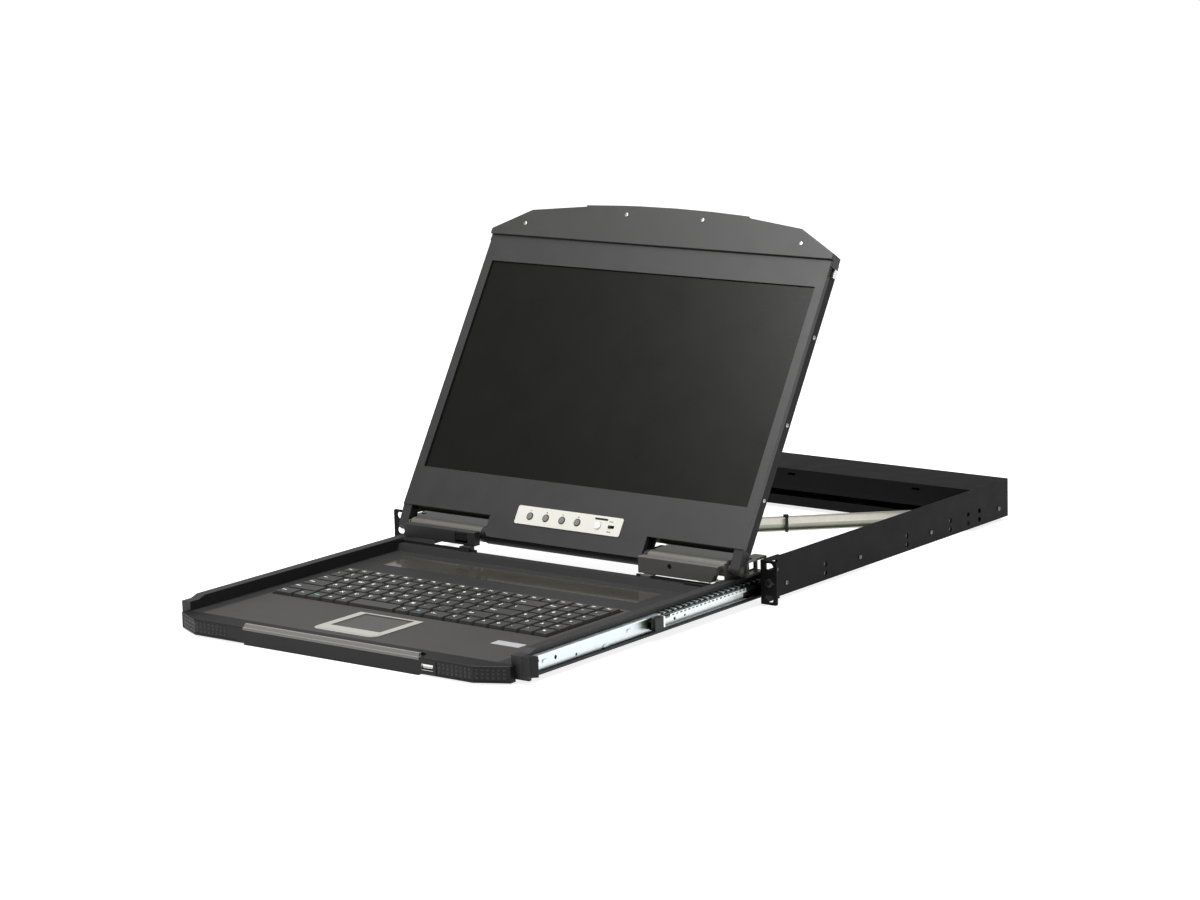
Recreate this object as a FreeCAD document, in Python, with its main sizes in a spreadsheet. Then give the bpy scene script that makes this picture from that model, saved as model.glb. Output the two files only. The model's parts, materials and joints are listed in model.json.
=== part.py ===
import FreeCAD, Part
import math
import os
import re
import Sketcher
from FreeCAD import Placement, Rotation, Vector

# Rackmount LCD console drawer, one rack unit high, drawn out with its display open.
# Millimetres. X to the right, Y to the rear, Z up. The origin is the middle of the rack ears' hole pattern,
# on the front face of the ears.

SIZES = {
    # rack ears and side panels
    "ear_reach": 18.7,          # an ear's width beyond its panel: 482.6 mm over both ears
    "hole_inset": 8.75,         # from an ear's edge to its column of holes
    "ear_high": 43.7,           # height of an ear, one rack unit less a running gap
    "ear_thick": 2.0,
    "hole_pitch": 15.875,
    "slot_long": 9.5,
    "slot_radius": 3.5,
    "flange_deep": 29.0,        # the ear's side flange, along the panel
    "panel_half": 222.6,        # half width over the side panels
    "panel_thick": 1.2,
    "panel_low": -20.7,
    "panel_high": 20.0,
    "window_front": 6.0,        # window behind the upper ear hole
    "window_long": 20.0,
    "window_low": 9.5,
    "window_high": 8.0,
    "pair_radius": 2.7,         # holes for rear rack brackets
    "pair_top": -4.6,
    "pair_pitch": 9.2,
    "screw_head": 2.2,
    "screw_head_high": 1.1,
    "screw_shank": 1.4,
    # rear box
    "box_gap": 11.4,            # between the ends of the slides and the box
    "box_deep": 72.5,
    "box_vent": 10.0,
    "box_lip_top": -10.4,
    "box_wall_low": -3.5,
    "sheet_thick": 1.2,
    "board_inset": 32.6,        # from a side panel's outer face to the board's edge
    "board_low": -15.0,
    "board_thick": 1.6,
    "post_radius": 2.5,
    "port_gap": 0.4,
    # slides
    "slide_front": 12.0,        # front end of the chassis channel
    "slide_length": 364.0,
    "slide_middle": -9.6,       # height of the slides' centre line
    "slide_half": 8.65,         # half height of the channels
    "slide_thick": 1.2,
    "slide_lip": 5.8,           # depth of the channels
    "slide_overlap": 10.0,      # what the slide's outer and inner channels keep in common when drawn out
    "rail_half": 4.4,           # half height of the middle rail
    "rail_reach": 4.5,          # half width of the middle rail
    "strip_start": 22.0,        # slotted strip on the middle rail, behind its front end
    "strip_pitch": 6.4,
    "strip_slot": 3.6,
    "ball_gap": 0.075,
    "cage_thick": 0.6,
    "cage_length": 160.0,
    "ball_pitch": 25.0,
    "stop_front": 1.5,          # plastic stop about the front end of the middle rail
    "stop_rear": 14.0,
    "stop_low": 4.9,
    "stop_high": 7.1,
    "bump_long": 7.0,           # pressed bumps on the drawer channel
    "bump_radius": 1.6,
    "bump_proud": 0.7,
    # tray
    "slide_room": 13.4,         # between tray and side panel
    "tray_past": 7.0,           # the tray's front end before the slides'
    "tray_short": 64.0,         # the tray's floor ends this far before its side walls
    "wall_wide": 11.0,          # width of the hollow side walls
    "tray_low": -21.5,
    "wall_top": 4.0,
    "wall_step": 8.5,           # the walls' front ends are as low as the end posts
    "wall_ramp": 9.0,
    "post_top": 1.2,
    "post_deep": 3.8,
    "post_gap": 0.5,            # right end post to side panel
    "post_clear": 2.0,          # its rear face before the slides' front ends
    "post_chamfer": 4.5,
    # front moulding
    "front_deep": 23.2,
    "front_inset": 6.6,         # the moulding's ends within the tray's sides
    "corner_wide": 30.9,
    "corner_deep": 15.6,
    "front_top": -7.5,
    "front_low": -22.9,
    "corner_sink": 0.6,         # sunk fields for the corners' texture
    "corner_rim": 1.5,
    "corner_from": 128.0,       # where the right field begins
    "grip_half": 107.0,
    "grip_top": -4.5,
    "grip_edge": -10.0,
    "grip_low": -24.5,
    "grip_slope": 2.5,
    "grip_shelf": 4.5,
    "rib_at": 112.4,            # low double rib beside the grip's left end
    "rib_wide": 1.4,
    "rib_pitch": 2.5,
    "rib_low": 14.5,
    "front_wall": 2.5,
    "usb_middle": 117.4,
    "usb_half": 7.2,
    "usb_low": -19.2,
    "usb_high": 6.0,
    # palm rest
    "deck_top": -7.5,
    "deck_thick": 2.0,
    "deck_past": 6.0,           # the deck's ridge behind the tray's rear wall
    "ridge_top": -1.0,
    "ridge_deep": 14.0,
    "lip_top": 1.2,             # narrow lip on the ridge, under the hinge covers
    "lip_wide": 2.0,
    "lip_gap": 0.3,
    "lip_clear": 1.0,
    "keys_middle": -8.0,        # the keyboard sits left of the middle
    "keys_half": 170.5,
    "keys_back": 94.8,          # from the front moulding's joint to the keys
    "keys_deep": 117.0,
    "keys_gap": 0.7,
    "strip_half": 165.0,
    "strip_back": 34.0,         # from the keys to the glossy strip
    "strip_deep": 41.0,
    "strip_middle": -12.0,
    "strip_thick": 1.0,
    # keys
    "key_top": -4.6,
    "key_high": 4.4,
    "key_travel": 2.2,
    "key_gap": 2.4,
    "key_slope": 2.0,
    "plate_top": -12.2,
    "plate_thick": 1.2,
    "stem_half": 1.6,
    "stem_gap": 0.25,
    "row_first": 0.8,           # depth of the function row in key pitches
    # touchpad
    "pad_middle": -11.0,
    "pad_before": 15.5,         # from the keys to the touchpad
    "pad_wide": 78.0,
    "pad_corner": 9.0,
    "pad_deep": 71.5,
    "pad_window": 61.0,
    "pad_window_deep": 50.5,
    "pad_rim": 2.6,
    "pad_proud": 0.8,
    "pad_low": -13.0,
    "pad_sink": 1.2,
    "pad_fit": 0.3,
    "button_travel": 0.8,
    # hinges
    "axis_back": 39.75,         # from the side walls' rear end to the hinge axis
    "axis_z": 13.5,
    "barrel_radius": 8.0,
    "barrel_deep": 29.25,
    "barrel_gap": 6.0,          # between the display's tongue and a barrel
    "pin_radius": 4.0,
    "tongue_pin": 3.0,
    "pin_gap": 0.05,
    "bracket_top": 20.0,
    "bracket_long": 33.6,
    "bracket_past": 4.0,        # the bracket's rear end behind the walls'
    "bracket_over": 4.0,        # its outer face outside the tray's
    "bracket_gap": 5.0,         # between barrel and hinge arm
    "window_wide": 12.5,
    "window_edge": 2.2,
    "cover_before": 16.75,      # front of a cover before the hinge axis
    "cover_deep": 8.3,
    "cover_gap": 2.0,
    "cover_short": 1.0,
    "cover_slant": 9.0,         # the right cover's outer end leans inwards
    "cover_top": 18.2,
    "cover_low": 1.6,
    "cover_lift": 2.4,          # the left cover's lower edge above the right one's
    "cover_left_short": 4.0,
    "cover_leg_inset": 7.0,     # short leg under a cover, standing on the deck's ridge
    "cover_leg_wide": 12.0,
    "cover_leg_before": 6.5,    # the leg's front before the cover's
    "cover_leg_deep": 9.5,
    "cover_wall": 2.0,
    "tab_middle": -123.0,
    "tab_half": 8.0,
    "tab_low": 8.7,
    "tab_high": 6.9,
    "tab_travel": 2.2,
    "jack_x": 139.0,
    "jack_z": 12.0,
    "jack_radius": 2.6,
    # display
    "lcd_over": 6.0,            # the display's sides outside the tray's
    "lcd_tilt": 31.64,          # how far the open display leans back
    "lcd_high": 305.2,
    "lcd_thick": 17.0,
    "lcd_front": 9.0,           # the hinge axis lies this far behind the front face
    "lcd_rise": 18.46,          # and this far below the display's lower edge
    "bezel_thick": 5.0,
    "bezel_skin": 2.0,
    "lcd_wall": 2.5,
    "tongue_half": 99.0,
    "tongue_long": 22.7,
    "glass_inset": 10.4,
    "glass_drop": 29.5,
    "glass_low": 42.6,
    "panel_deep": 8.0,
    "panel_over": 1.6,
    "arm_wide": 11.0,
    "arm_back": 13.0,
    "eye_radius": 6.2,
    "handle_over": 1.5,
    "handle_shoulder_in": 45.5,
    "handle_arc_half": 102.0,
    "handle_side": 6.0,         # heights above the display's upper edge
    "handle_knee": 29.8,
    "handle_edge": 37.6,
    "handle_step": 39.2,
    "handle_crown": 42.4,
    "handle_proud": 2.8,
    "handle_back": 12.0,
    "handle_wall": 3.5,
    "lug_wide": 1.5,            # lugs at the handle's ends, over the display's sides
    "lug_drop": 7.0,
    "lug_back": 3.2,
    "catch_drop": 16.2,
    "catch_proud": 3.0,
    "catch_high": 9.0,
    "catch_travel": 2.5,
    "catch_gap": 0.3,
    # controls under the screen
    "controls_half": 66.0,
    "controls_low": -5.0,
    "controls_high": 19.4,
    "controls_thick": 0.8,
    "menu_height": 4.1,
    "menu_radius": 3.2,
    "power_x": 37.0,
    "power_radius": 3.8,
    "switch_x": 53.5,
    "switch_half": 3.6,
    "switch_travel": 3.0,
    "push_travel": 0.6,
    "push_proud": 0.7,
    "push_gap": 0.3,
    # cable arm
    "arm_inset": 7.0,           # its end pivots within the tray's walls
    "arm_before": 37.4,         # rear pivot before the box
    "arm_behind": 20.0,         # front pivot behind the tray's rear wall
    "link": 273.0,
    "link_low": -13.3,
    "link_high": 14.5,
    "link_wide": 8.0,
    "link_thick": 1.2,
    "link_pin": 2.5,
    "link_gap": 0.1,
    "tie_at": 146.0,
    "tie_wide": 3.2,
    "tie_thick": 0.8,
    "tie_head": 2.2,
    "arm_swing": 16.0,          # play of the front pin along its slot
    "arm_notch": 26.0,          # room for the folding link in the deck's rear edge
}

# sizes that follow from others
TIES = {
    "travel": "slide_length - slide_overlap",
    "ear_half": "panel_half + ear_reach",
    "hole_half": "ear_half - hole_inset",
    "box_front": "slide_front + slide_length + box_gap",
    "chassis_deep": "box_front + box_deep",
    "board_half": "panel_half - board_inset",
    "tray_half": "panel_half - panel_thick - slide_room",
    "tray_front": "slide_front - travel - tray_past",
    "wall_rear": "slide_front - travel + slide_length",
    "tray_rear": "wall_rear - tray_short",
    "wall_in": "tray_half - wall_wide",
    "post_front": "tray_front - post_deep",
    "front_face": "post_front - front_deep",
    "front_half": "tray_half - front_inset",
    "deck_rear": "tray_rear + deck_past",
    "keys_front": "post_front + keys_back",
    "keys_rear": "keys_front + keys_deep",
    "strip_front": "keys_rear + strip_back",
    "strip_rear": "strip_front + strip_deep",
    "pad_rear": "keys_front - pad_before",
    "axis_y": "wall_rear - axis_back",
    "lcd_half": "tray_half + lcd_over",
    "arm_in": "lcd_half - arm_wide",
    "barrel_in": "tongue_half + barrel_gap",
    "barrel_out": "arm_in - bracket_gap",
    "barrel_rear": "axis_y + barrel_deep",
    "bracket_rear": "wall_rear + bracket_past",
    "bracket_front": "bracket_rear - bracket_long",
    "bracket_out": "tray_half + bracket_over",
    "cover_front": "axis_y - cover_before",
    "cover_rear": "cover_front + cover_deep",
    "cover_in": "tongue_half + cover_gap",
    "cover_out": "barrel_out - cover_short",
    "cover_leg_in": "cover_in + cover_leg_inset",
    "cover_leg_front": "cover_front - cover_leg_before",
    "cover_leg_rear": "cover_leg_front + cover_leg_deep",
    "glass_half": "lcd_half - glass_inset",
    "glass_high": "lcd_high - glass_drop",
    "handle_half": "lcd_half + handle_over",
    "handle_shoulder": "handle_half - handle_shoulder_in",
    "catch_low": "lcd_high - catch_drop",
    "catch_out": "lcd_half + catch_proud",
    "arm_x": "wall_in - arm_inset",
    "arm_rear_y": "box_front - arm_before",
    "arm_front_y": "tray_rear + arm_behind",
    "lip_end": "arm_x - arm_notch - lip_clear",
}

MENU_BUTTONS = (-48.6, -28.5, -8.2, 11.2)           # places along the control plate
EAR_SCREW = ("flange_deep - 5", 7.7)                # through the ear's flange, as (y, z)
PANEL_SCREWS = (("slide_front + 31.6", -9.5), ("chassis_deep - 285.9", -9.5), ("chassis_deep - 152.9", -9.5),
                ("chassis_deep - 18.9", -9.5))
HOLE_PAIRS = (347.9, 198.6, 115.4, 79.7, 57.7)      # places of the bracket holes before a panel's rear edge
HANDLE_SCREWS = ((174.0, 319.0), (48.0, 336.5))     # mirrored about the middle
SIDE_SCREWS = (54.0, 133.0, 226.0)                  # heights on the display's sides
PORTS = (("inlet", -160.0, 28.0, 20.0), ("digital_video", -80.0, 38.0, 11.0), ("video", -20.0, 31.0, 12.5),
         ("console", 40.0, 31.0, 12.5), ("network", 95.0, 16.0, 13.0), ("usb", 130.0, 13.0, 15.0))
VENTS = (-5.5, 153.0)                               # slots in the box's front wall
CHANNEL_HOLES = ((12.0, 2.0, 1.6), (37.5, 0.0, 1.9), (68.0, -4.0, 1.4), (200.0, 0.0, 1.6))
CHANNEL_BUMPS = ((21.8, 0.0), (111.5, -5.7), (148.1, 0.9))      # behind the channel's front end, above its middle
RAIL_HOLES = ((34.1, 1.6), (50.3, 1.2))
# key widths in key pitches, from the left; the last four of a row are the number block
KEY_ROWS = (
    ("key_row_function", (1.0,) * 15 + (1.0,) * 4),
    ("key_row_numbers", (1.0,) * 13 + (2.0,) + (1.0,) * 4),
    ("key_row_upper", (1.5,) + (1.0,) * 12 + (1.5,) + (1.0,) * 4),
    ("key_row_home", (1.75,) + (1.0,) * 11 + (2.25,) + (1.0,) * 4),
    ("key_row_lower", (2.2,) + (1.0,) * 10 + (1.8, 1.0) + (1.0,) * 4),
    ("key_row_bottom", (1.36, 1.0, 1.0, 1.0, 1.0, 3.2, 1.0, 1.0, 1.44, 1.0, 1.0, 1.0) + (1.0,) * 4),
)
KEY_COLUMNS = sum(KEY_ROWS[0][1])
SPACE_BAR = KEY_ROWS[-1][1].index(max(KEY_ROWS[-1][1]))

doc = FreeCAD.newDocument("console_drawer")
sheet = doc.addObject("Spreadsheet::Sheet", "dims")
for number, (name, size) in enumerate({**SIZES, **TIES}.items(), start=1):
    sheet.set(f"A{number}", name)
    sheet.set(f"B{number}", f"={size}")
    sheet.setAlias(f"B{number}", name)
doc.recompute()


# ---- small tools for drawing ----

def tied(text):
    """An expression in which every size's name points at its cell of the sheet."""
    def cell(word):
        return f"dims.{word[0]}" if word[0] in SIZES or word[0] in TIES else word[0]
    return re.sub(r"[a-z]\w*", cell, str(text))


def size_of(text):
    """The present value of a size text, in millimetres or degrees."""
    result = sheet.evalExpression(tied(text))
    return float(getattr(result, "Value", result))


def block(name, x, y, z):
    """Box between two limits along each axis."""
    item = doc.addObject("Part::Box", name)
    for side, axis, (low, high) in zip(("Length", "Width", "Height"), "xyz", (x, y, z)):
        item.setExpression(side, tied(f"({high}) - ({low})"))
        item.setExpression(f"Placement.Base.{axis}", tied(low))
    return item


TURNS = {"x": Rotation(Vector(0, 1, 0), 90), "y": Rotation(Vector(1, 0, 0), -90), "z": Rotation()}


def rod(name, axis, centre, radius, span):
    """Round bar along one axis: its centre in the other two, and its two ends."""
    item = doc.addObject("Part::Cylinder", name)
    item.Placement = Placement(Vector(), TURNS[axis])
    item.setExpression("Radius", tied(radius))
    item.setExpression("Height", tied(f"({span[1]}) - ({span[0]})"))
    places = list(centre)
    places.insert("xyz".index(axis), span[0])
    for letter, place in zip("xyz", places):
        item.setExpression(f"Placement.Base.{letter}", tied(place))
    return item


def ball(name, centre, radius):
    item = doc.addObject("Part::Sphere", name)
    item.setExpression("Radius", tied(radius))
    for letter, place in zip("xyz", centre):
        item.setExpression(f"Placement.Base.{letter}", tied(place))
    return item


def join(name, items):
    """One solid from pieces that overlap or touch."""
    whole = doc.addObject("Part::MultiFuse", name)
    whole.Shapes = list(items)
    whole.Refine = True
    return whole


def group(name, items):
    """Separate solids kept in one node."""
    whole = doc.addObject("Part::Compound", name)
    whole.Links = list(items)
    return whole


def cut(name, base, tools):
    """The base with every tool taken out of it."""
    item = doc.addObject("Part::Cut", name)
    item.Base = base
    item.Tool = tools[0] if len(tools) == 1 else join(f"{name}_tools", tools)
    item.Refine = True
    return item


def mirrored(name, source):
    """The left-hand twin of a right-hand piece."""
    item = doc.addObject("Part::Mirroring", name)
    item.Source = source
    item.Normal = Vector(1, 0, 0)
    return item


def obround(name, axis, middle, height, length, radius, span):
    """Bar along the axis X or Y with a slot-shaped section, its long side level."""
    half = f"({length}) / 2 - ({radius})"
    across = (f"{middle} - ({half})", f"{middle} + ({half})")
    level = (f"{height} - ({radius})", f"{height} + ({radius})")
    limits = (span, across, level) if axis == "x" else (across, span, level)
    return join(name, [block(f"{name}_middle", *limits)]
                + [rod(f"{name}_end_{i}", axis, (end, height), radius, span) for i, end in enumerate(across)])


def plane_of(body, role):
    return next(item for item in body.Origin.OriginFeatures if item.Role == role)


def draw_outline(sketch, points):
    """Closed outline through the points, each fixed by its two distances from the sketch's origin."""
    spots = [Vector(size_of(u), size_of(v), 0) for u, v in points]
    count = len(spots)
    lines = [sketch.addGeometry(Part.LineSegment(spots[i], spots[(i + 1) % count]), False) for i in range(count)]
    for i, line in enumerate(lines):
        sketch.addConstraint(Sketcher.Constraint("Coincident", line, 2, lines[(i + 1) % count], 1))
    for line, (u, v) in zip(lines, points):
        for kind, text in (("DistanceX", u), ("DistanceY", v)):
            place = sketch.addConstraint(Sketcher.Constraint(kind, -1, 1, line, 1, size_of(text)))
            sketch.setExpression(f"Constraints[{place}]", tied(text))


def draw_circle(sketch, u, v, radius):
    ring = Part.Circle(Vector(size_of(u), size_of(v), 0), Vector(0, 0, 1), size_of(radius))
    circle = sketch.addGeometry(ring, False)
    for kind, text in (("DistanceX", u), ("DistanceY", v)):
        place = sketch.addConstraint(Sketcher.Constraint(kind, -1, 1, circle, 3, size_of(text)))
        sketch.setExpression(f"Constraints[{place}]", tied(text))
    place = sketch.addConstraint(Sketcher.Constraint("Radius", circle, size_of(radius)))
    sketch.setExpression(f"Constraints[{place}]", tied(radius))


def sketch_on(body, role, name, start):
    """Sketch on one of the body's own origin planes, moved to start along the axis that the plane faces."""
    sketch = body.newObject("Sketcher::SketchObject", name)
    sketch.AttachmentSupport = (plane_of(body, role), "")
    sketch.MapMode = "FlatFace"
    sign = "-1 * " if role == "XZ_Plane" else ""
    sketch.setExpression("AttachmentOffset.Base.z", tied(f"{sign}({start})"))
    return sketch


def extruded(name, role, points, start, length):
    """Body with the outline padded from start towards the positive side of its plane's axis."""
    body = doc.addObject("PartDesign::Body", name)
    sketch = sketch_on(body, role, f"{name}_outline", start)
    draw_outline(sketch, points)
    pad = body.newObject("PartDesign::Pad", f"{name}_pad")
    pad.Profile = sketch
    pad.setExpression("Length", tied(length))
    pad.Reversed = role == "XZ_Plane"
    sketch.Visibility = False
    doc.recompute()
    return body


def pocket(body, name, role, start, depth, outlines=(), circles=()):
    """Pocket from start towards the positive side of its plane's axis."""
    before = body.Shape.Volume
    sketch = sketch_on(body, role, f"{name}_outline", start)
    for points in outlines:
        draw_outline(sketch, points)
    for u, v, radius in circles:
        draw_circle(sketch, u, v, radius)
    hollow = body.newObject("PartDesign::Pocket", name)
    hollow.Profile = sketch
    hollow.setExpression("Length", tied(depth))
    hollow.Reversed = role != "XZ_Plane"
    sketch.Visibility = False
    doc.recompute()
    if body.Shape.Volume >= before:
        raise RuntimeError(f"{name} removes nothing")
    return hollow


def round_edges(body, name, radius, wanted, chamfer=False):
    """Fillet or chamfer on the edges of the body for which wanted(edge) holds."""
    base = body.Tip
    edges = [f"Edge{i}" for i, edge in enumerate(base.Shape.Edges, start=1) if wanted(edge)]
    if not edges:
        raise RuntimeError(f"{name} finds no edge")
    feature = body.newObject("PartDesign::Chamfer" if chamfer else "PartDesign::Fillet", name)
    feature.Base = (base, edges)
    feature.setExpression("Size" if chamfer else "Radius", tied(radius))
    doc.recompute()
    return feature


def rectangle(u0, u1, v0, v1):
    return [(u0, v0), (u1, v0), (u1, v1), (u0, v1)]


def runs_along(edge, direction):
    """True for a straight edge parallel to the direction."""
    if edge.Curve.TypeId != "Part::GeomLine":
        return False
    return abs(abs(edge.Curve.Direction.dot(direction)) - 1) < 1e-6


NODES = {}


def keep(label, item):
    """Enter the finished piece under the name of its node."""
    item.Label = label
    NODES[label] = item
    return item


def keep_pair(label, right):
    """The right-hand piece and its left-hand twin, each in a node of its own."""
    keep(f"{label}_right", right)
    keep(f"{label}_left", mirrored(f"{label}_left_twin", right))


panel_in = "(panel_half - panel_thick)"


# ---- chassis: ears, side panels, rear box ----

def rack_ear():
    plate = extruded("ear_body", "XY_Plane",
                     [("panel_half", "0"), ("ear_half", "0"), ("ear_half", "ear_thick"),
                      ("panel_half + ear_thick", "ear_thick"), ("panel_half + ear_thick", "flange_deep"),
                      ("panel_half", "flange_deep")], "-ear_high / 2", "ear_high")
    round_edges(plate, "ear_corners", "ear_thick * 0.9",
                lambda edge: runs_along(edge, Vector(0, 1, 0)) and edge.CenterOfMass.x > size_of("ear_half - 0.1"))
    slots = [obround(f"ear_slot_{i}", "y", "hole_half", f"{i} * hole_pitch", "slot_long", "slot_radius",
                     ("-1", "ear_thick + 1")) for i in (-1, 0, 1)]
    window = block("ear_window", ("panel_half - 1", "panel_half + ear_thick + 1"),
                   ("window_front", "window_front + window_long"), ("window_low", "window_low + window_high"))
    return cut("ear_piece", plate, slots + [window])


def side_panel():
    panel = extruded("panel_body", "YZ_Plane",
                     rectangle("ear_thick", "chassis_deep", "panel_low", "panel_high"), panel_in, "panel_thick")
    pairs = [(f"chassis_deep - {back}", z, "pair_radius") for back in HOLE_PAIRS
             for z in ("pair_top", "pair_top - pair_pitch")]
    screws = [(y, z, "screw_shank + 0.1") for y, z in PANEL_SCREWS]
    pocket(panel, "panel_holes", "YZ_Plane", f"{panel_in} - 1", "panel_thick + 2", circles=pairs + screws)
    pocket(panel, "panel_window", "YZ_Plane", f"{panel_in} - 1", "panel_thick + 2",
           outlines=[rectangle("window_front", "window_front + window_long", "window_low",
                               "window_low + window_high")])
    return panel


def port_box(name, x, wide, high, gap, y):
    foot = "board_low + board_thick"
    return block(name, (f"{x} - {wide} / 2 - {gap}", f"{x} + {wide} / 2 + {gap}"), y,
                 (f"{foot} - {gap}", f"{foot} + {high} + {gap}"))


def rear_box():
    base = extruded("base_fold", "YZ_Plane",
                    [("box_front", "panel_low"), ("chassis_deep", "panel_low"),
                     ("chassis_deep", "panel_high - sheet_thick"),
                     ("chassis_deep - sheet_thick", "panel_high - sheet_thick"),
                     ("chassis_deep - sheet_thick", "panel_low + sheet_thick"),
                     ("box_front + sheet_thick", "panel_low + sheet_thick"),
                     ("box_front + sheet_thick", "box_lip_top"), ("box_front", "box_lip_top")],
                    f"-{panel_in}", f"2 * {panel_in}")
    tongue = block("base_tongue", ("arm_x - link_pin - 5", "arm_x + 6"),
                   ("arm_rear_y - 8", "box_front"), ("link_low - 2 - sheet_thick", "link_low - 2"))
    pivot = rod("base_pivot", "z", ("arm_x", "arm_rear_y"), "link_pin",
                ("link_low - 2 - sheet_thick", "link_low + link_high + 1"))
    seat = rod("base_pivot_seat", "z", ("arm_x", "arm_rear_y"), "link_pin + 2",
               ("link_low - 2 - sheet_thick", "link_low - link_gap"))
    holes = [port_box(f"{name}_hole", x, wide, high, "port_gap", ("chassis_deep - 5", "chassis_deep + 5"))
             for name, x, wide, high in PORTS]
    keep("rear_box_base", cut("base_piece", join("base_solid", [base, tongue, pivot, seat]), holes))
    cover = extruded("cover_fold", "YZ_Plane",
                     [("box_front", "box_wall_low"), ("box_front + sheet_thick", "box_wall_low"),
                      ("box_front + sheet_thick", "panel_high - sheet_thick"),
                      ("chassis_deep", "panel_high - sheet_thick"), ("chassis_deep", "panel_high"),
                      ("box_front", "panel_high")], f"-{panel_in}", f"2 * {panel_in}")
    vents = [block(f"cover_slot_{i}", (f"{x} - box_vent / 2", f"{x} + box_vent / 2"),
                   ("box_front - 1", "box_front + 5"), ("panel_high - 7", "panel_high - 4.5"))
             for i, x in enumerate(VENTS)]
    keep("rear_box_cover", cut("cover_piece", cover, vents))
    board = block("board_sheet", ("-board_half", "board_half"), ("box_front + 8", "chassis_deep - 5"),
                  ("board_low", "board_low + board_thick"))
    posts = [rod(f"board_post_{i}", "z", (x, y), "post_radius", ("panel_low + sheet_thick", "board_low"))
             for i, (x, y) in enumerate((x, y) for x in ("-board_half + 8", "board_half - 8")
                                        for y in ("box_front + 16", "chassis_deep - 14"))]
    sockets = [port_box(f"{name}_socket", x, wide, high, "0", ("chassis_deep - 18", "chassis_deep"))
               for name, x, wide, high in PORTS]
    keep("controller_board", join("board_piece", [board] + posts + sockets))


def panel_screws():
    heads = []
    for side in (-1, 1):
        for i, (y, z) in enumerate((EAR_SCREW,) + PANEL_SCREWS):
            outer = "panel_half + ear_thick" if i == 0 else "panel_half"
            span = (outer, f"{outer} + screw_head_high")
            ends = span if side > 0 else (f"-({span[1]})", f"-({span[0]})")
            heads.append(rod(f"screw_head_{side}_{i}", "x", (y, z), "screw_head", ends))
    captive = join("captive_screw", [
        rod("captive_head", "y", ("hole_half", "0"), "slot_radius + 0.9", ("-1.6", "0")),
        rod("captive_shank", "y", ("hole_half", "0"), "slot_radius - 0.3", ("-1", "ear_thick + 6"))])
    return group("chassis_screw_set", heads + [captive])


keep_pair("rack_ear", rack_ear())
keep_pair("side_panel", side_panel())
rear_box()
keep("chassis_screws", panel_screws())


# ---- slides, right side ----

top = "(slide_middle + slide_half)"
low = "(slide_middle - slide_half)"
rail_x = f"((tray_half + {panel_in}) / 2)"
ball_radius = "((slide_half - slide_thick - rail_half) / 2 - ball_gap)"
ball_height = "((slide_half - slide_thick + rail_half) / 2)"
drawn = "(slide_front - travel)"
half_way = "(slide_front - travel / 2)"


def channel(name, back, into, start):
    """C channel along Y: its web against back, its lips reaching into the slide."""
    web = f"{back} {into} slide_thick"
    lip = f"{back} {into} slide_lip"
    return extruded(name, "XZ_Plane",
                    [(back, top), (lip, top), (lip, f"{top} - slide_thick"), (web, f"{top} - slide_thick"),
                     (web, f"{low} + slide_thick"), (lip, f"{low} + slide_thick"), (lip, low), (back, low)],
                    start, "slide_length")


def middle_rail():
    upper = "(slide_middle + rail_half)"
    lower = "(slide_middle - rail_half)"
    left, right = f"{rail_x} - rail_reach", f"{rail_x} + rail_reach"
    web_left, web_right = f"{rail_x} - slide_thick / 2", f"{rail_x} + slide_thick / 2"
    beam = extruded("rail_beam", "XZ_Plane",
                    [(left, upper), (right, upper), (right, f"{upper} - slide_thick"),
                     (web_right, f"{upper} - slide_thick"), (web_right, f"{lower} + slide_thick"),
                     (right, f"{lower} + slide_thick"), (right, lower), (left, lower),
                     (left, f"{lower} + slide_thick"), (web_left, f"{lower} + slide_thick"),
                     (web_left, f"{upper} - slide_thick"), (left, f"{upper} - slide_thick")],
                    half_way, "slide_length")
    strip = block("rail_strip", (f"{right} - 0.6", right),
                  (f"{half_way} + strip_start", f"{half_way} + slide_length"),
                  (f"{upper} - slide_thick", f"{top} - slide_thick - 0.3"))
    slots = []
    for i in range(int(size_of("slide_length - strip_start") / size_of("strip_pitch")) - 1):
        start = f"{half_way} + strip_start + 3 + {i} * strip_pitch"
        slots.append(block(f"strip_slot_{i}", (f"{right} - 1", f"{right} + 1"), (start, f"{start} + strip_slot"),
                           (f"{upper} + 0.7", f"{upper} + 2.1")))
    holes = [rod(f"rail_hole_{i}", "x", (f"{half_way} + {y}", "slide_middle"), radius,
                 (f"{rail_x} - 2", f"{rail_x} + 2")) for i, (y, radius) in enumerate(RAIL_HOLES)]
    rail = cut("rail_solid", join("rail_whole", [beam, strip]), slots + holes)
    stop = cut("rail_stop", block("rail_stop_block", ("tray_half + slide_lip + 0.3", right),
                                  (f"{half_way} - stop_front", f"{half_way} + stop_rear"),
                                  ("slide_middle - stop_low", "slide_middle + stop_high")), [beam])
    return group("middle_rail_set", [rail, stop])


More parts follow.
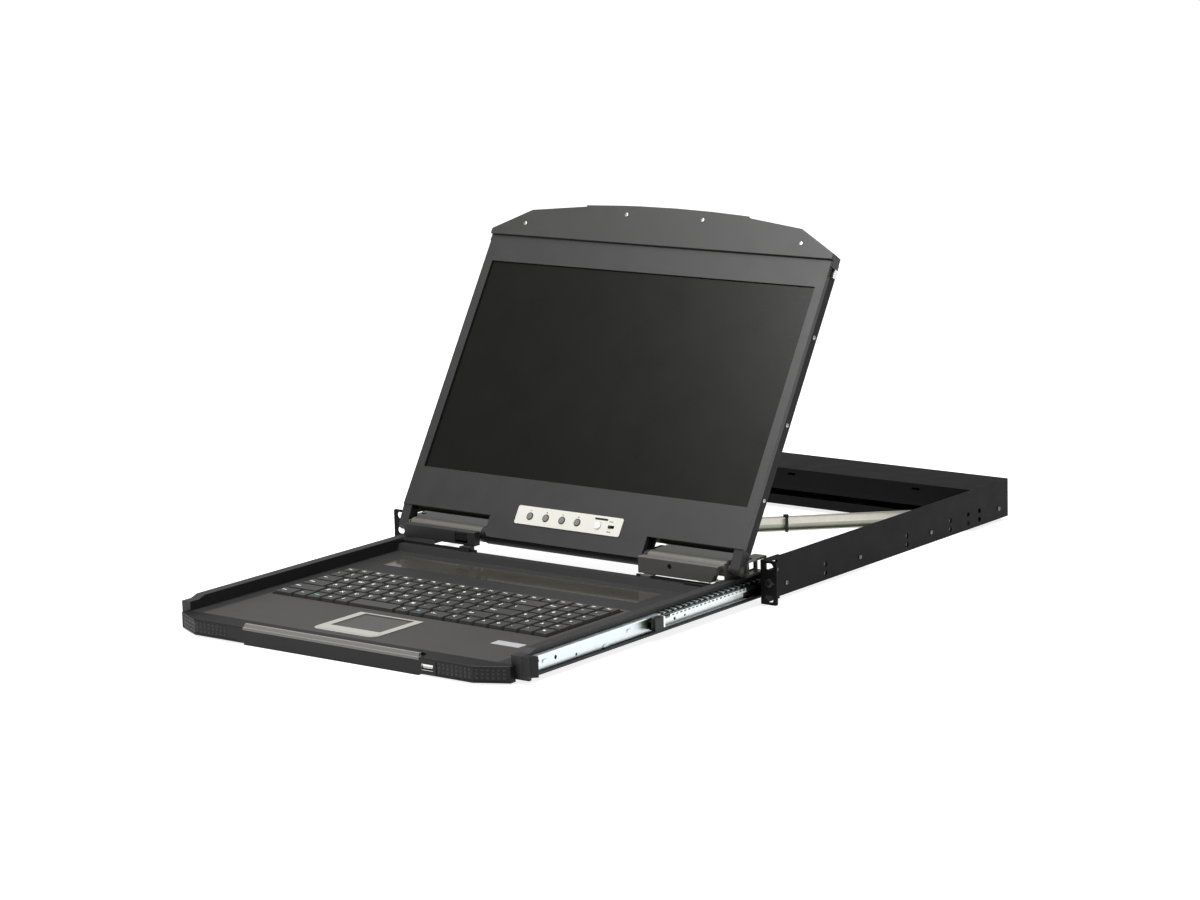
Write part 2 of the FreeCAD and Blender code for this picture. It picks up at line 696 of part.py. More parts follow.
def ball_cage(name, x, start):
    """Two flat strips above and below the middle rail, with a row of balls in each."""
    pieces = []
    count = int(size_of("cage_length") / size_of("ball_pitch"))
    for row, sign in (("top", "+"), ("low", "-")):
        height = f"(slide_middle {sign} {ball_height})"
        strip = block(f"{name}_{row}_strip", (f"{x} - 1.3 - ball_gap", f"{x} + 1.3 + ball_gap"),
                      (start, f"{start} + cage_length"), (f"{height} - cage_thick / 2", f"{height} + cage_thick / 2"))
        places = [f"{start} + ball_pitch * {i + 0.5}" for i in range(count)]
        seats = [ball(f"{name}_{row}_seat_{i}", (x, y, height), f"{ball_radius} + 0.08")
                 for i, y in enumerate(places)]
        pieces.append(cut(f"{name}_{row}", strip, seats))
        pieces += [ball(f"{name}_{row}_ball_{i}", (x, y, height), ball_radius) for i, y in enumerate(places)]
    return group(name, pieces)


keep_pair("chassis_channel", channel("chassis_channel_body", panel_in, "-", "slide_front"))


def drawer_channel():
    body = channel("drawer_channel_body", "tray_half", "+", drawn)
    holes = [(f"{drawn} + {y}", f"slide_middle + {z}", radius) for y, z, radius in CHANNEL_HOLES]
    pocket(body, "drawer_channel_holes", "YZ_Plane", "tray_half - 1", "slide_thick + 2", circles=holes)
    web = "tray_half + slide_thick"
    bumps = [obround(f"channel_bump_{i}", "x", f"{drawn} + {y}", f"slide_middle + {z}", "bump_long", "bump_radius",
                     (f"{web} - 0.5", f"{web} + bump_proud")) for i, (y, z) in enumerate(CHANNEL_BUMPS)]
    return join("drawer_channel_piece", [body] + bumps)


keep_pair("drawer_channel", drawer_channel())
keep_pair("middle_rail", middle_rail())
keep_pair("outer_ball_cage", ball_cage("outer_cage", f"({panel_in} - slide_lip + 1.45)", "(slide_front + 8)"))
keep_pair("inner_ball_cage", ball_cage("inner_cage", "(tray_half + slide_lip - 1.45 - 0.4)", f"({half_way} + 5)"))


# ---- tray, front moulding, palm rest ----

deck_low = "(deck_top - deck_thick)"


def tray():
    pieces = [
        block("tray_floor", ("-tray_half", "tray_half"), ("tray_front", "tray_rear"),
              ("tray_low", "tray_low + sheet_thick")),
        block("tray_front_wall", ("-tray_half", "tray_half"), ("tray_front", "tray_front + sheet_thick"),
              ("tray_low", deck_low)),
        block("tray_rear_wall", ("-tray_half", "tray_half"), ("tray_rear - sheet_thick", "tray_rear"),
              ("tray_low", deck_low)),
        block("arm_tab", ("arm_x - link_pin - 5", "arm_x + 6"), ("tray_rear - sheet_thick", "arm_front_y + 8"),
              ("link_low - 2 - sheet_thick", "link_low - 2")),
    ]
    for side, name in ((1, "right"), (-1, "left")):
        def span(inner, outer):
            return (inner, outer) if side > 0 else (f"-({outer})", f"-({inner})")
        pieces.append(block(f"end_post_{name}", span("wall_in", "tray_half"), ("post_front", "tray_front"),
                            ("tray_low + 1", "post_top")))
        def crest(down):
            return [("tray_front", f"post_top - {down}"), ("tray_front + wall_step", f"post_top - {down}"),
                    ("tray_front + wall_step + wall_ramp", f"wall_top - {down}"), ("wall_rear", f"wall_top - {down}")]
        left, right = span("wall_in", "tray_half")
        pieces += [
            extruded(f"wall_outer_{name}", "YZ_Plane", crest("0") + [("wall_rear", "tray_low"), ("tray_front", "tray_low")],
                     span("tray_half - sheet_thick", "tray_half")[0], "sheet_thick"),
            extruded(f"wall_inner_{name}", "YZ_Plane", crest("0") + [("wall_rear", deck_low), ("tray_front", deck_low)],
                     span("wall_in", "wall_in + sheet_thick")[0], "sheet_thick"),
            extruded(f"wall_cap_{name}", "YZ_Plane", crest("0") + crest("sheet_thick")[::-1], left,
                     f"({right}) - ({left})"),
        ]
    post_out = f"{panel_in} - post_gap"
    pieces += [
        block("end_block_front", ("tray_half", f"{post_out} - post_chamfer"), ("post_front", "tray_front"),
              ("tray_low + 1", "post_top")),
        extruded("end_block_rear", "XY_Plane",
                 [("tray_half", "tray_front"), (f"{post_out} - post_chamfer", "tray_front"),
                  (post_out, "tray_front + post_chamfer"), (post_out, f"{drawn} - post_clear"),
                  ("tray_half", f"{drawn} - post_clear")], low, f"post_top - {low}"),
    ]
    slot = join("arm_slot", [
        block("arm_slot_middle", ("arm_x - link_pin - link_gap", "arm_x + link_pin + link_gap"),
              ("arm_front_y - arm_swing", "arm_front_y"), ("link_low - 5", "link_low")),
        rod("arm_slot_rear", "z", ("arm_x", "arm_front_y"), "link_pin + link_gap", ("link_low - 5", "link_low")),
        rod("arm_slot_front", "z", ("arm_x", "arm_front_y - arm_swing"), "link_pin + link_gap",
            ("link_low - 5", "link_low"))])
    return cut("tray_piece", join("tray_solid", pieces), [slot])


def front_moulding():
    corner = "front_face + corner_deep"
    body = extruded("front_body", "XY_Plane",
                    [("-front_half", "post_front"), ("-front_half", corner),
                     ("-(front_half - corner_wide)", "front_face"), ("front_half - corner_wide", "front_face"),
                     ("front_half", corner), ("front_half", "post_front")],
                    "front_low", "front_top - front_low")
    round_edges(body, "front_edges", "1.0", lambda edge: abs(edge.CenterOfMass.z - size_of("front_top")) < 1e-3
                and edge.CenterOfMass.y < size_of("post_front - 1"))
    grip = extruded("grip_body", "YZ_Plane",
                    [("front_face", "grip_low"), ("post_front", "grip_low"), ("post_front", "front_top"),
                     ("front_face + grip_slope + grip_shelf + 6", "front_top"),
                     ("front_face + grip_slope + grip_shelf", "grip_top"),
                     ("front_face + grip_slope", "grip_top"), ("front_face", "grip_edge")],
                    "-grip_half", "2 * grip_half")
    hollow = block("front_hollow", ("-front_half + corner_wide * 0.5", "front_half - corner_wide * 0.5"),
                   ("front_face + corner_deep * 0.5 + front_wall", "post_front + 1"),
                   ("front_low + front_wall", "front_top - front_wall - 2"))
    usb = block("usb_mouth", ("usb_middle - usb_half", "usb_middle + usb_half"), ("front_face - 1", "post_front"),
                ("usb_low", "usb_low + usb_high"))
    tip, sink = "front_half - corner_wide", "corner_sink"
    level = ("front_low + corner_rim", "front_top - front_low - 2 * corner_rim")
    fields = []
    for name, side, start in (("right", "", "corner_from"), ("left", "-", "rib_at + rib_pitch")):
        chamfer = [(f"{tip} - {sink} / 4", f"front_face + {sink}"),
                   (f"front_half - corner_rim - {sink} * 0.4", f"{corner} - corner_rim / 2 + {sink} * 0.9"),
                   ("front_half + 1", f"{corner} - corner_rim / 2 - 1"), (f"{tip} + 2", "front_face - 1")]
        corners = [(start, "front_face - 1"), (start, f"front_face + {sink}")] + chamfer
        fields.append(extruded(f"corner_field_{name}", "XY_Plane",
                               [(f"{side}({x})", y) for x, y in corners], *level))
    ribs = [block(f"grip_rib_{i}", (f"-rib_at + {i} * rib_pitch", f"-rib_at + rib_wide + {i} * rib_pitch"),
                  ("front_face", "front_face + 3"), ("front_top - rib_low", "front_top - 0.5")) for i in (0, 1)]
    solid = cut("front_marked", join("front_solid", [body, grip]), fields)
    return cut("front_piece", join("front_ribbed", [solid] + ribs), [hollow, usb])


def usb_socket():
    shell = block("usb_shell", ("usb_middle - usb_half", "usb_middle + usb_half"),
                  ("front_face + 0.6", "post_front - 1"), ("usb_low", "usb_low + usb_high"))
    mouth = block("usb_inside", ("usb_middle - usb_half + 0.5", "usb_middle + usb_half - 0.5"),
                  ("front_face", "post_front - 4"), ("usb_low + 0.5", "usb_low + usb_high - 0.5"))
    tongue = block("usb_tongue", ("usb_middle - usb_half + 1", "usb_middle + usb_half - 1"),
                   ("front_face + 1.6", "post_front - 3"),
                   ("usb_low + usb_high - 2.6", "usb_low + usb_high - 0.9"))
    return join("usb_piece", [cut("usb_can", shell, [mouth]), tongue])


keys_front_edge = "keys_front - keys_gap"
keys_rear_edge = "keys_rear + keys_gap"
pad_left = "(pad_middle - pad_wide / 2)"
pad_right = "(pad_middle + pad_wide / 2)"
pad_front = "(pad_rear - pad_deep)"


def palm_rest():
    inner = "wall_in - 0.1"
    deck = extruded("deck_body", "YZ_Plane",
                    [("post_front", deck_low), ("deck_rear", deck_low), ("deck_rear", "ridge_top"),
                     ("deck_rear - ridge_deep + 4", "ridge_top"), ("deck_rear - ridge_deep", "deck_top"),
                     ("post_front", "deck_top")], f"-({inner})", f"2 * ({inner})")
    openings = [
        block("keys_opening", ("keys_middle - keys_half - keys_gap", "keys_middle + keys_half + keys_gap"),
              (keys_front_edge, keys_rear_edge), (f"{deck_low} - 1", "deck_top + 1")),
        block("pad_opening", (f"{pad_left} + pad_rim", f"{pad_right} - pad_rim"),
              (f"{pad_front} + pad_rim", "pad_rear - pad_rim"), (f"{deck_low} - 1", "deck_top + 1")),
        block("strip_seat", ("strip_middle - strip_half", "strip_middle + strip_half"), ("strip_front", "strip_rear"),
              ("deck_top - strip_thick", "deck_top + 1")),
        block("arm_notch_cut", ("arm_x - arm_notch", "wall_in + 1"), ("tray_rear", "deck_rear + 1"),
              (f"{deck_low} - 1", "ridge_top + 1")),
    ]
    lips = [block(f"deck_lip_{i}", x, ("deck_rear - lip_wide", "deck_rear"), ("ridge_top - 1", "lip_top"))
            for i, x in enumerate((("cover_in", "cover_leg_in - lip_gap"),
                                   ("cover_leg_in + cover_leg_wide + lip_gap", "lip_end"),
                                   ("-cover_leg_in + lip_gap", "-cover_in"),
                                   (f"-({inner})", "-cover_leg_in - cover_leg_wide - lip_gap")))]
    lips.append(block("deck_lip_notch", ("lip_end", inner), ("tray_rear - lip_wide", "tray_rear"),
                      ("ridge_top - 1", "lip_top")))
    return cut("deck_piece", join("deck_whole", [deck] + lips), openings)


def keyboard_plate():
    left, right = "keys_middle - keys_half - keys_gap", "keys_middle + keys_half + keys_gap"
    outer = block("plate_outer", (f"{left} - 1.5", f"{right} + 1.5"),
                  (f"{keys_front_edge} - 1.5", f"{keys_rear_edge} + 1.5"), ("plate_top - plate_thick", deck_low))
    well = block("plate_inner", (left, right), (keys_front_edge, keys_rear_edge), ("plate_top", "deck_top"))
    slots = [block(f"stem_slot_{i}", (f"{x} - stem_half - stem_gap", f"{x} + stem_half + stem_gap"),
                   (f"{y} - stem_half - stem_gap", f"{y} + stem_half + stem_gap"),
                   ("plate_top - plate_thick - 1", "plate_top + 1")) for i, (x, y) in enumerate(STEMS)]
    return cut("plate_piece", outer, [well] + slots)


def key_layout():
    """Every key as (row, column, middle x, middle y, width, depth), in size texts."""
    pitch = "(2 * keys_half / %s)" % KEY_COLUMNS
    deep = f"((keys_rear - keys_front) / ({len(KEY_ROWS) - 1} + row_first))"
    keys = []
    for row, (_, widths) in enumerate(KEY_ROWS):
        depth = f"({deep} * row_first)" if row == 0 else deep
        rear = "keys_rear" if row == 0 else f"keys_rear - {deep} * (row_first + {row - 1})"
        passed = 0.0
        for column, width in enumerate(widths):
            middle = f"keys_middle - keys_half + {pitch} * {passed + width / 2:.4f}"
            keys.append((row, column, middle, f"{rear} - {depth} / 2", f"({pitch} * {width} - key_gap)",
                         f"({depth} - key_gap)"))
            passed += width
    return keys


def keycap(name, x, y, wide, deep):
    """Cap with sloping sides on a square stem."""
    base = "(key_top - key_high)"
    cap = doc.addObject("Part::Wedge", f"{name}_cap")
    half, half_deep = f"({wide} / 2)", f"({deep} / 2)"
    for prop, text in (("Xmin", f"-{half}"), ("Xmax", half), ("Zmin", f"-{half_deep}"), ("Zmax", half_deep),
                       ("X2min", f"key_slope - {half}"), ("X2max", f"{half} - key_slope"),
                       ("Z2min", f"key_slope * 0.7 - {half_deep}"), ("Z2max", f"{half_deep} - key_slope * 0.7"),
                       ("Ymin", "0"), ("Ymax", "key_high")):
        cap.setExpression(prop, tied(text))
    cap.Placement = Placement(Vector(), Rotation(Vector(1, 0, 0), 90))
    for letter, place in zip("xyz", (x, y, base)):
        cap.setExpression(f"Placement.Base.{letter}", tied(place))
    stem = block(f"{name}_stem", (f"{x} - stem_half", f"{x} + stem_half"), (f"{y} - stem_half", f"{y} + stem_half"),
                 ("plate_top - 0.8", base))
    return join(name, [cap, stem])


LAYOUT = key_layout()
STEMS = [(x, y) for _, _, x, y, _, _ in LAYOUT]

keep("tray", tray())
keep("front_moulding", front_moulding())
keep("usb_socket", usb_socket())
keep("palm_rest", palm_rest())
keep("keyboard_plate", keyboard_plate())
for row, (label, _) in enumerate(KEY_ROWS):
    caps = {column: keycap(f"{label}_{column}", x, y, wide, deep)
            for line, column, x, y, wide, deep in LAYOUT if line == row}
    if label == "key_row_bottom":
        keep("space_bar", caps.pop(SPACE_BAR))
    keep(label, group(f"{label}_set", caps.values()))
keep("status_strip", block("strip_glass", ("strip_middle - strip_half + 0.1", "strip_middle + strip_half - 0.1"),
                           ("strip_front + 0.1", "strip_rear - 0.1"), ("deck_top - strip_thick", "deck_top + 0.1")))


# ---- touchpad ----

def touchpad():
    window_left = "(pad_middle - pad_window / 2)"
    window_right = "(pad_middle + pad_window / 2)"
    window_front = "(pad_rear - pad_rim - pad_window_deep)"
    top_face = "(deck_top + pad_proud)"
    flange = extruded("pad_flange", "XY_Plane", rectangle(pad_left, pad_right, pad_front, "pad_rear"),
                      "deck_top", "pad_proud")
    round_edges(flange, "pad_corners", "pad_corner",
                lambda edge: runs_along(edge, Vector(0, 0, 1)) and edge.CenterOfMass.y < size_of(f"{pad_front} + 1"))
    tub = block("pad_tub", (f"{pad_left} + pad_rim + 0.1", f"{pad_right} - pad_rim - 0.1"),
                (f"{pad_front} + pad_rim + 0.1", "pad_rear - pad_rim - 0.1"), ("pad_low", "deck_top"))
    window = block("pad_window_cut", (window_left, window_right), (window_front, "pad_rear - pad_rim"),
                   (f"{top_face} - pad_sink - 1", f"{top_face} + 1"))
    wells = block("button_well", (f"{pad_left} + pad_rim + 1", f"{pad_right} - pad_rim - 1"),
                  (f"{pad_front} + pad_rim + 1", f"{window_front} - 1.2"), ("pad_low + 1", f"{top_face} + 1"))
    keep("touchpad_frame", cut("pad_frame_piece", join("pad_frame_solid", [flange, tub]), [window, wells]))
    keep("touchpad", block("pad_plate", (f"{window_left} + 0.2", f"{window_right} - 0.2"),
                           (f"{window_front} + 0.2", "pad_rear - pad_rim - 0.2"),
                           (f"{top_face} - pad_sink - 1", f"{top_face} - pad_sink")))
    for label, x in (("touchpad_button_left", (f"{pad_left} + pad_rim + 1 + pad_fit", "pad_middle - pad_fit / 2")),
                     ("touchpad_button_right", ("pad_middle + pad_fit / 2", f"{pad_right} - pad_rim - 1 - pad_fit"))):
        keep(label, block(f"{label}_cap", x,
                          (f"{pad_front} + pad_rim + 1 + pad_fit", f"{window_front} - 1.2 - pad_fit"),
                          ("pad_low + 1 + button_travel + 0.4", f"{top_face} + 0.1")))


touchpad()


# ---- hinges ----

def hinge_bracket():
    """Barrel housing, upright sheet bracket and hinge pins, on the drawer."""
    thick = "sheet_thick"
    pieces = [
        rod("barrel_nose", "x", ("axis_y", "axis_z"), "barrel_radius", ("barrel_in", "barrel_out")),
        block("barrel_block", ("barrel_in", "barrel_out"), ("axis_y", "barrel_rear"),
              ("axis_z - barrel_radius", "axis_z + barrel_radius")),
        rod("outer_pin", "x", ("axis_y", "axis_z"), "pin_radius", ("barrel_out", "bracket_out + 1.5")),
        rod("inner_pin", "x", ("axis_y", "axis_z"), "tongue_pin", ("tongue_half - 8", "barrel_in")),
        block("upright_inner", ("barrel_out", f"barrel_out + {thick}"), ("axis_y - barrel_radius", "bracket_rear"),
              ("wall_top", "bracket_top")),
        block("upright_top", ("barrel_out", "bracket_out"), ("bracket_front", "bracket_rear"),
              (f"bracket_top - {thick}", "bracket_top")),
        block("upright_outer", (f"bracket_out - {thick}", "bracket_out"), ("bracket_front", "bracket_rear"),
              ("wall_top", "bracket_top")),
        block("upright_base", ("barrel_out", "bracket_out"), ("bracket_front", "bracket_rear"),
              ("wall_top", f"wall_top + {thick}")),
    ]
    windows = [block(f"upright_window_{i}", (f"{x} - 1", f"{x} + {thick} + 1"), (start, f"{start} + window_wide"),
                     ("wall_top + window_edge", "bracket_top - window_edge"))
               for i, (x, start) in enumerate((("bracket_out - sheet_thick", "bracket_front + 4"),
                                               ("bracket_out - sheet_thick", "bracket_rear - window_wide - 3"),
                                               ("barrel_out", "bracket_rear - window_wide - 3")))]
    screw = rod("bracket_screw", "z", ("(barrel_out + bracket_out) / 2", "bracket_front + 14"), "2.6",
                ("bracket_top", "bracket_top + 0.9"))
    frame = cut("bracket_frame", join("bracket_solid", pieces), windows)
    return join("bracket_piece", [frame, screw])


def hinge_cover(side):
    """Moulded cover in front of a hinge barrel."""
    name = "right" if side > 0 else "left"
    inner, outer = ("cover_in", "cover_out") if side > 0 else ("-cover_out", "-(cover_in + cover_left_short)")
    foot_line = "cover_low" if side > 0 else "(cover_low + cover_lift)"
    body = extruded(f"cover_{name}_body", "YZ_Plane",
                    [("cover_front", foot_line), ("cover_rear", foot_line), ("cover_rear", f"{foot_line} + cover_wall"),
                     ("cover_front + cover_wall", f"{foot_line} + cover_wall"),
                     ("cover_front + cover_wall", "cover_top - cover_wall"),
                     ("cover_rear", "cover_top - cover_wall"), ("cover_rear", "cover_top"),
                     ("cover_front", "cover_top")], inner, f"({outer}) - ({inner})")
    round_edges(body, f"cover_{name}_edges", "0.9", lambda edge: runs_along(edge, Vector(1, 0, 0))
                and edge.CenterOfMass.y < size_of("cover_front + 0.1"))
    ends = [block(f"cover_{name}_end_{i}", (f"{x} - cover_wall / 2", f"{x} + cover_wall / 2"),
                  ("cover_front + 0.5", "cover_rear"), (f"{foot_line} + 0.5", "cover_top - 0.5"))
            for i, x in enumerate((f"{inner} + cover_wall / 2", f"{outer} - cover_wall / 2")[:1 if side > 0 else 2])]
    leg_x = ("cover_leg_in", "cover_leg_in + cover_leg_wide")
    if side < 0:
        leg_x = ("-cover_leg_in - cover_leg_wide", "-cover_leg_in")
    leg = block(f"cover_{name}_leg", leg_x, ("cover_leg_front", "cover_leg_rear"), ("ridge_top", foot_line))
    foot = block(f"cover_{name}_foot", leg_x, ("cover_front + 1", "cover_leg_rear"), (foot_line, f"{foot_line} + 1"))
    if side > 0:
        slant = "cover_out - cover_slant"
        ends.append(extruded("cover_slant_end", "XZ_Plane",
                             [("cover_out", "cover_top"), (slant, "cover_low"), (f"{slant} - cover_wall", "cover_low"),
                              ("cover_out - cover_wall", "cover_top")], "cover_front + 1", "cover_deep - 1"))
        tools = [rod("jack_hole", "y", ("jack_x", "jack_z"), "jack_radius", ("cover_front - 1", "cover_rear")),
                 extruded("cover_slant_off", "XZ_Plane",
                          [("cover_out", "cover_top"), ("cover_out + 1", "cover_top"), ("cover_out + 1", "cover_low"),
                           (slant, "cover_low")], "cover_front - 1", "cover_deep + 2")]
    else:
        tools = [block("tab_hole", ("tab_middle - tab_half", "tab_middle + tab_half"),
                       ("cover_front - 1", "cover_rear"),
                       ("tab_low - tab_travel - 0.3", "tab_low + tab_high + 0.3"))]
    whole = join(f"cover_{name}_solid", [body, leg, foot] + ends)
    return cut(f"cover_{name}_piece", whole, tools)


def catch_tab():
    plate = block("tab_plate", ("tab_middle - tab_half + 0.4", "tab_middle + tab_half - 0.4"),
                  ("cover_front + 0.6", "cover_front + cover_wall + 1.2"), ("tab_low", "tab_low + tab_high"))
    lip = block("tab_lip", ("tab_middle - tab_half + 0.4", "tab_middle + tab_half - 0.4"),
                ("cover_front - 0.9", "cover_front + 2"), ("tab_low", "tab_low + 2"))
    return join("tab_piece", [plate, lip])


keep_pair("hinge_bracket", hinge_bracket())
keep("hinge_cover_right", hinge_cover(1))
keep("hinge_cover_left", hinge_cover(-1))
keep("catch_tab", catch_tab())


# ---- display, drawn flat: x across, y up the screen, z out of its face ----

def on_display(item):
    """Stand a flat-drawn display piece up on the hinge axis, leaning back."""
    tilt = math.radians(size_of("lcd_tilt"))
    rise, front = size_of("lcd_rise"), size_of("lcd_front")
    corner_y = size_of("axis_y") + rise * math.sin(tilt) - front * math.cos(tilt)
    corner_z = size_of("axis_z") + rise * math.cos(tilt) + front * math.sin(tilt)
    stand = Placement(Vector(0, corner_y, corner_z), Rotation(Vector(1, 0, 0), 90 - size_of("lcd_tilt")))
    item.Placement = stand
    return item


def shell_outline():
    half, tongue = "lcd_half", "tongue_half"
    return [(f"-{half}", "lcd_high"), (f"-{half}", "0"), (f"-{tongue}", "0"), (f"-{tongue}", "-tongue_long + 4"),
            (f"-{tongue} + 4", "-tongue_long"), (f"{tongue} - 4", "-tongue_long"), (tongue, "-tongue_long + 4"),
            (tongue, "0"), (half, "0"), (half, "lcd_high")]


def front_bezel():
    body = extruded("bezel_body", "XY_Plane", shell_outline(), "-bezel_thick", "bezel_thick")
    pocket(body, "bezel_back", "XY_Plane", "-bezel_thick", "bezel_thick - bezel_skin",
           outlines=[rectangle("-lcd_half + lcd_wall", "lcd_half - lcd_wall", "lcd_wall + 7", "lcd_high - lcd_wall")])
    pocket(body, "bezel_window", "XY_Plane", "-bezel_thick", "bezel_thick + 1",
           outlines=[rectangle("-glass_half", "glass_half", "glass_low", "glass_high")])
    holes = [(x, "menu_height", "menu_radius + push_gap") for x in MENU_BUTTONS]
    holes.append(("power_x", "menu_height", "power_radius + push_gap"))
    pocket(body, "bezel_holes", "XY_Plane", "-bezel_thick", "bezel_thick + 1", circles=holes,
           outlines=[rectangle("switch_x - switch_half", "switch_x + switch_half", "menu_height - 1.6",
                               "menu_height + 1.6")])
    return on_display(body)


def rear_cover():
    body = extruded("cover_shell", "XY_Plane", shell_outline(), "-lcd_thick", "lcd_thick - bezel_thick")
    round_edges(body, "cover_shell_edges", "2.5",
                lambda edge: abs(edge.CenterOfMass.z + size_of("lcd_thick")) < 1e-3
                and (abs(edge.CenterOfMass.x) > size_of("lcd_half - 0.1")
                     or edge.CenterOfMass.y > size_of("lcd_high - 0.1")), chamfer=True)
    pocket(body, "cover_shell_inside", "XY_Plane", "-lcd_thick + lcd_wall", "lcd_thick",
           outlines=[rectangle("-lcd_half + lcd_wall", "lcd_half - lcd_wall", "lcd_wall", "lcd_high - lcd_wall")])
    pocket(body, "cover_shell_bore", "YZ_Plane", "-tongue_half - 1", "2 * tongue_half + 2",
           circles=[("-lcd_rise", "-lcd_front", "tongue_pin + pin_gap")])
    middle = block("tongue_core", ("-tongue_half + 10", "tongue_half - 10"),
                   ("-lcd_rise - tongue_pin - 0.6", "-lcd_rise + tongue_pin + 0.6"),
                   ("-lcd_front - tongue_pin - 0.3", "-lcd_front + tongue_pin + 0.3"))
    catch_holes = [block(f"catch_hole_{name}", x, ("catch_low - catch_gap", "catch_low + catch_high + catch_gap"),
                         ("-11 - catch_gap", "-6 + catch_gap"))
                   for name, x in (("right", ("lcd_half - lcd_wall - 1", "lcd_half + 1")),
                                   ("left", ("-lcd_half - 1", "-lcd_half + lcd_wall + 1")))]
    vents = [block(f"vent_{row}_{i}", (f"{x} - 12", f"{x} + 12"), (f"{y} - 1.2", f"{y} + 1.2"),
                   ("-lcd_thick - 1", "-lcd_thick + lcd_wall + 1"))
             for row, y in enumerate((232, 240, 248, 256)) for i, x in enumerate((-120, -84, -48, 48, 84, 120))]
    whole = cut("cover_shell_solid", join("cover_shell_full", [body, middle]), catch_holes + vents)
    return on_display(whole)


def display_handle():
    """Plate along the display's top edge, hollow behind, with a shallow arc at its middle."""
    half, shoulder, arc, foot = (size_of(text) for text in
                                 ("handle_half", "handle_shoulder", "handle_arc_half", "lcd_high"))
    side, knee, edge, step, crown = (foot + size_of(f"handle_{place}") for place in
                                     ("side", "knee", "edge", "step", "crown"))

    def outline(inset):
        points = [Vector(x, y, 0) for x, y in (
            (-arc + inset, edge - inset), (-shoulder + inset * 0.6, knee - inset),
            (-half + inset, side - inset * 0.4), (-half + inset, foot + inset), (half - inset, foot + inset),
            (half - inset, side - inset * 0.4),
            (shoulder - inset * 0.6, knee - inset), (arc - inset, edge - inset), (arc - inset, step - inset))]
        edges = [Part.LineSegment(a, b).toShape() for a, b in zip(points, points[1:])]
        start = Vector(-arc + inset, step - inset, 0)
        edges.append(Part.Arc(points[-1], Vector(0, crown - inset, 0), start).toShape())
        edges.append(Part.LineSegment(start, points[0]).toShape())
        return Part.Face(Part.Wire(edges))

    proud, back, wall = size_of("handle_proud"), size_of("handle_back"), size_of("handle_wall")
    plate = outline(0).translated(Vector(0, 0, -back)).extrude(Vector(0, 0, proud + back))
    hollow = outline(wall).translated(Vector(0, 0, -back - wall)).extrude(Vector(0, 0, back + wall))
    shape = plate.cut(hollow)
    wide, drop = size_of("lug_wide"), size_of("lug_drop")
    for left in (-half, half - wide):
        shape = shape.fuse(Part.makeBox(wide, drop, proud + back - size_of("lug_back"), Vector(left, foot - drop, -back)))
    item = doc.addObject("Part::Feature", "handle_piece")
    item.Shape = shape.removeSplitter()
    return on_display(item)


def display_panel():
    return on_display(group("panel_set", [block(
        "display_module", ("-glass_half - panel_over", "glass_half + panel_over"),
        ("glass_low - panel_over", "glass_high + panel_over"), ("-bezel_skin - panel_deep", "-bezel_skin"))]))


def hinge_arm():
    """Arm from the display's lower corner to the hinge pin, with a tab inside the shell."""
    middle_y, middle_z = "-lcd_rise", "-lcd_front"
    eye = rod("arm_eye", "x", (middle_y, middle_z), "eye_radius", ("arm_in", "lcd_half"))
    blade = extruded("arm_blade", "YZ_Plane",
                     [(middle_y, f"{middle_z} + eye_radius"), (middle_y, f"{middle_z} - eye_radius"),
                      ("0", "-arm_back"), ("0", "-1")], "arm_in", "lcd_half - arm_in")
    tab = block("arm_tab_plate", ("arm_in", "lcd_half - lcd_wall"), ("-1", "0"), ("-arm_back", "-bezel_thick"))
    solid = join("arm_solid", [eye, blade, tab])
    bore = rod("arm_bore", "x", (middle_y, middle_z), "pin_radius + pin_gap", ("arm_in - 1", "lcd_half + 1"))
    return cut("arm_piece", solid, [bore])


def side_catch():
    return block("catch_bolt", ("lcd_half - lcd_wall - 3", "catch_out"),
                 ("catch_low", "catch_low + catch_high"), ("-11", "-6"))


def control_plate():
    plate = extruded("control_body", "XY_Plane",
                     rectangle("-controls_half", "controls_half", "controls_low", "controls_low + controls_high"),
                     "0", "controls_thick")
    round_edges(plate, "control_corners", "2.2", lambda edge: runs_along(edge, Vector(0, 0, 1)))
    holes = [(x, "menu_height", "menu_radius + push_gap") for x in MENU_BUTTONS]
    holes.append(("power_x", "menu_height", "power_radius + push_gap"))
    pocket(plate, "control_holes", "XY_Plane", "-1", "controls_thick + 2", circles=holes,
           outlines=[rectangle("switch_x - switch_half", "switch_x + switch_half", "menu_height - 1.6",
                               "menu_height + 1.6")])
    return on_display(plate)


def push_button(name, x, radius):
    cap = rod(f"{name}_cap", "z", (x, "menu_height"), radius,
              ("-bezel_thick + push_travel + 0.3", "controls_thick + push_proud"))
    return on_display(group(f"{name}_set", [cap]))


def mode_switch():
    knob = block("switch_knob", ("switch_x - switch_half + 0.2", "switch_x + switch_half - 0.2 - switch_travel"),
                 ("menu_height - 1.4", "menu_height + 1.4"), ("-bezel_thick", "controls_thick + push_proud"))
    return on_display(group("switch_set", [knob]))


def display_screws():
    heads = [rod(f"handle_screw_{i}", "z", (x, y), "2.3", ("handle_proud", "handle_proud + 0.6"))
             for i, (x, y) in enumerate((side * x, y) for side in (-1, 1) for x, y in HANDLE_SCREWS)]
    for i, y in enumerate(SIDE_SCREWS):
        heads.append(rod(f"side_screw_right_{i}", "x", (y, "-9"), "2.1", ("lcd_half", "lcd_half + 0.7")))
        heads.append(rod(f"side_screw_left_{i}", "x", (y, "-9"), "2.1", ("-lcd_half - 0.7", "-lcd_half")))
    return on_display(group("display_screw_set", heads))


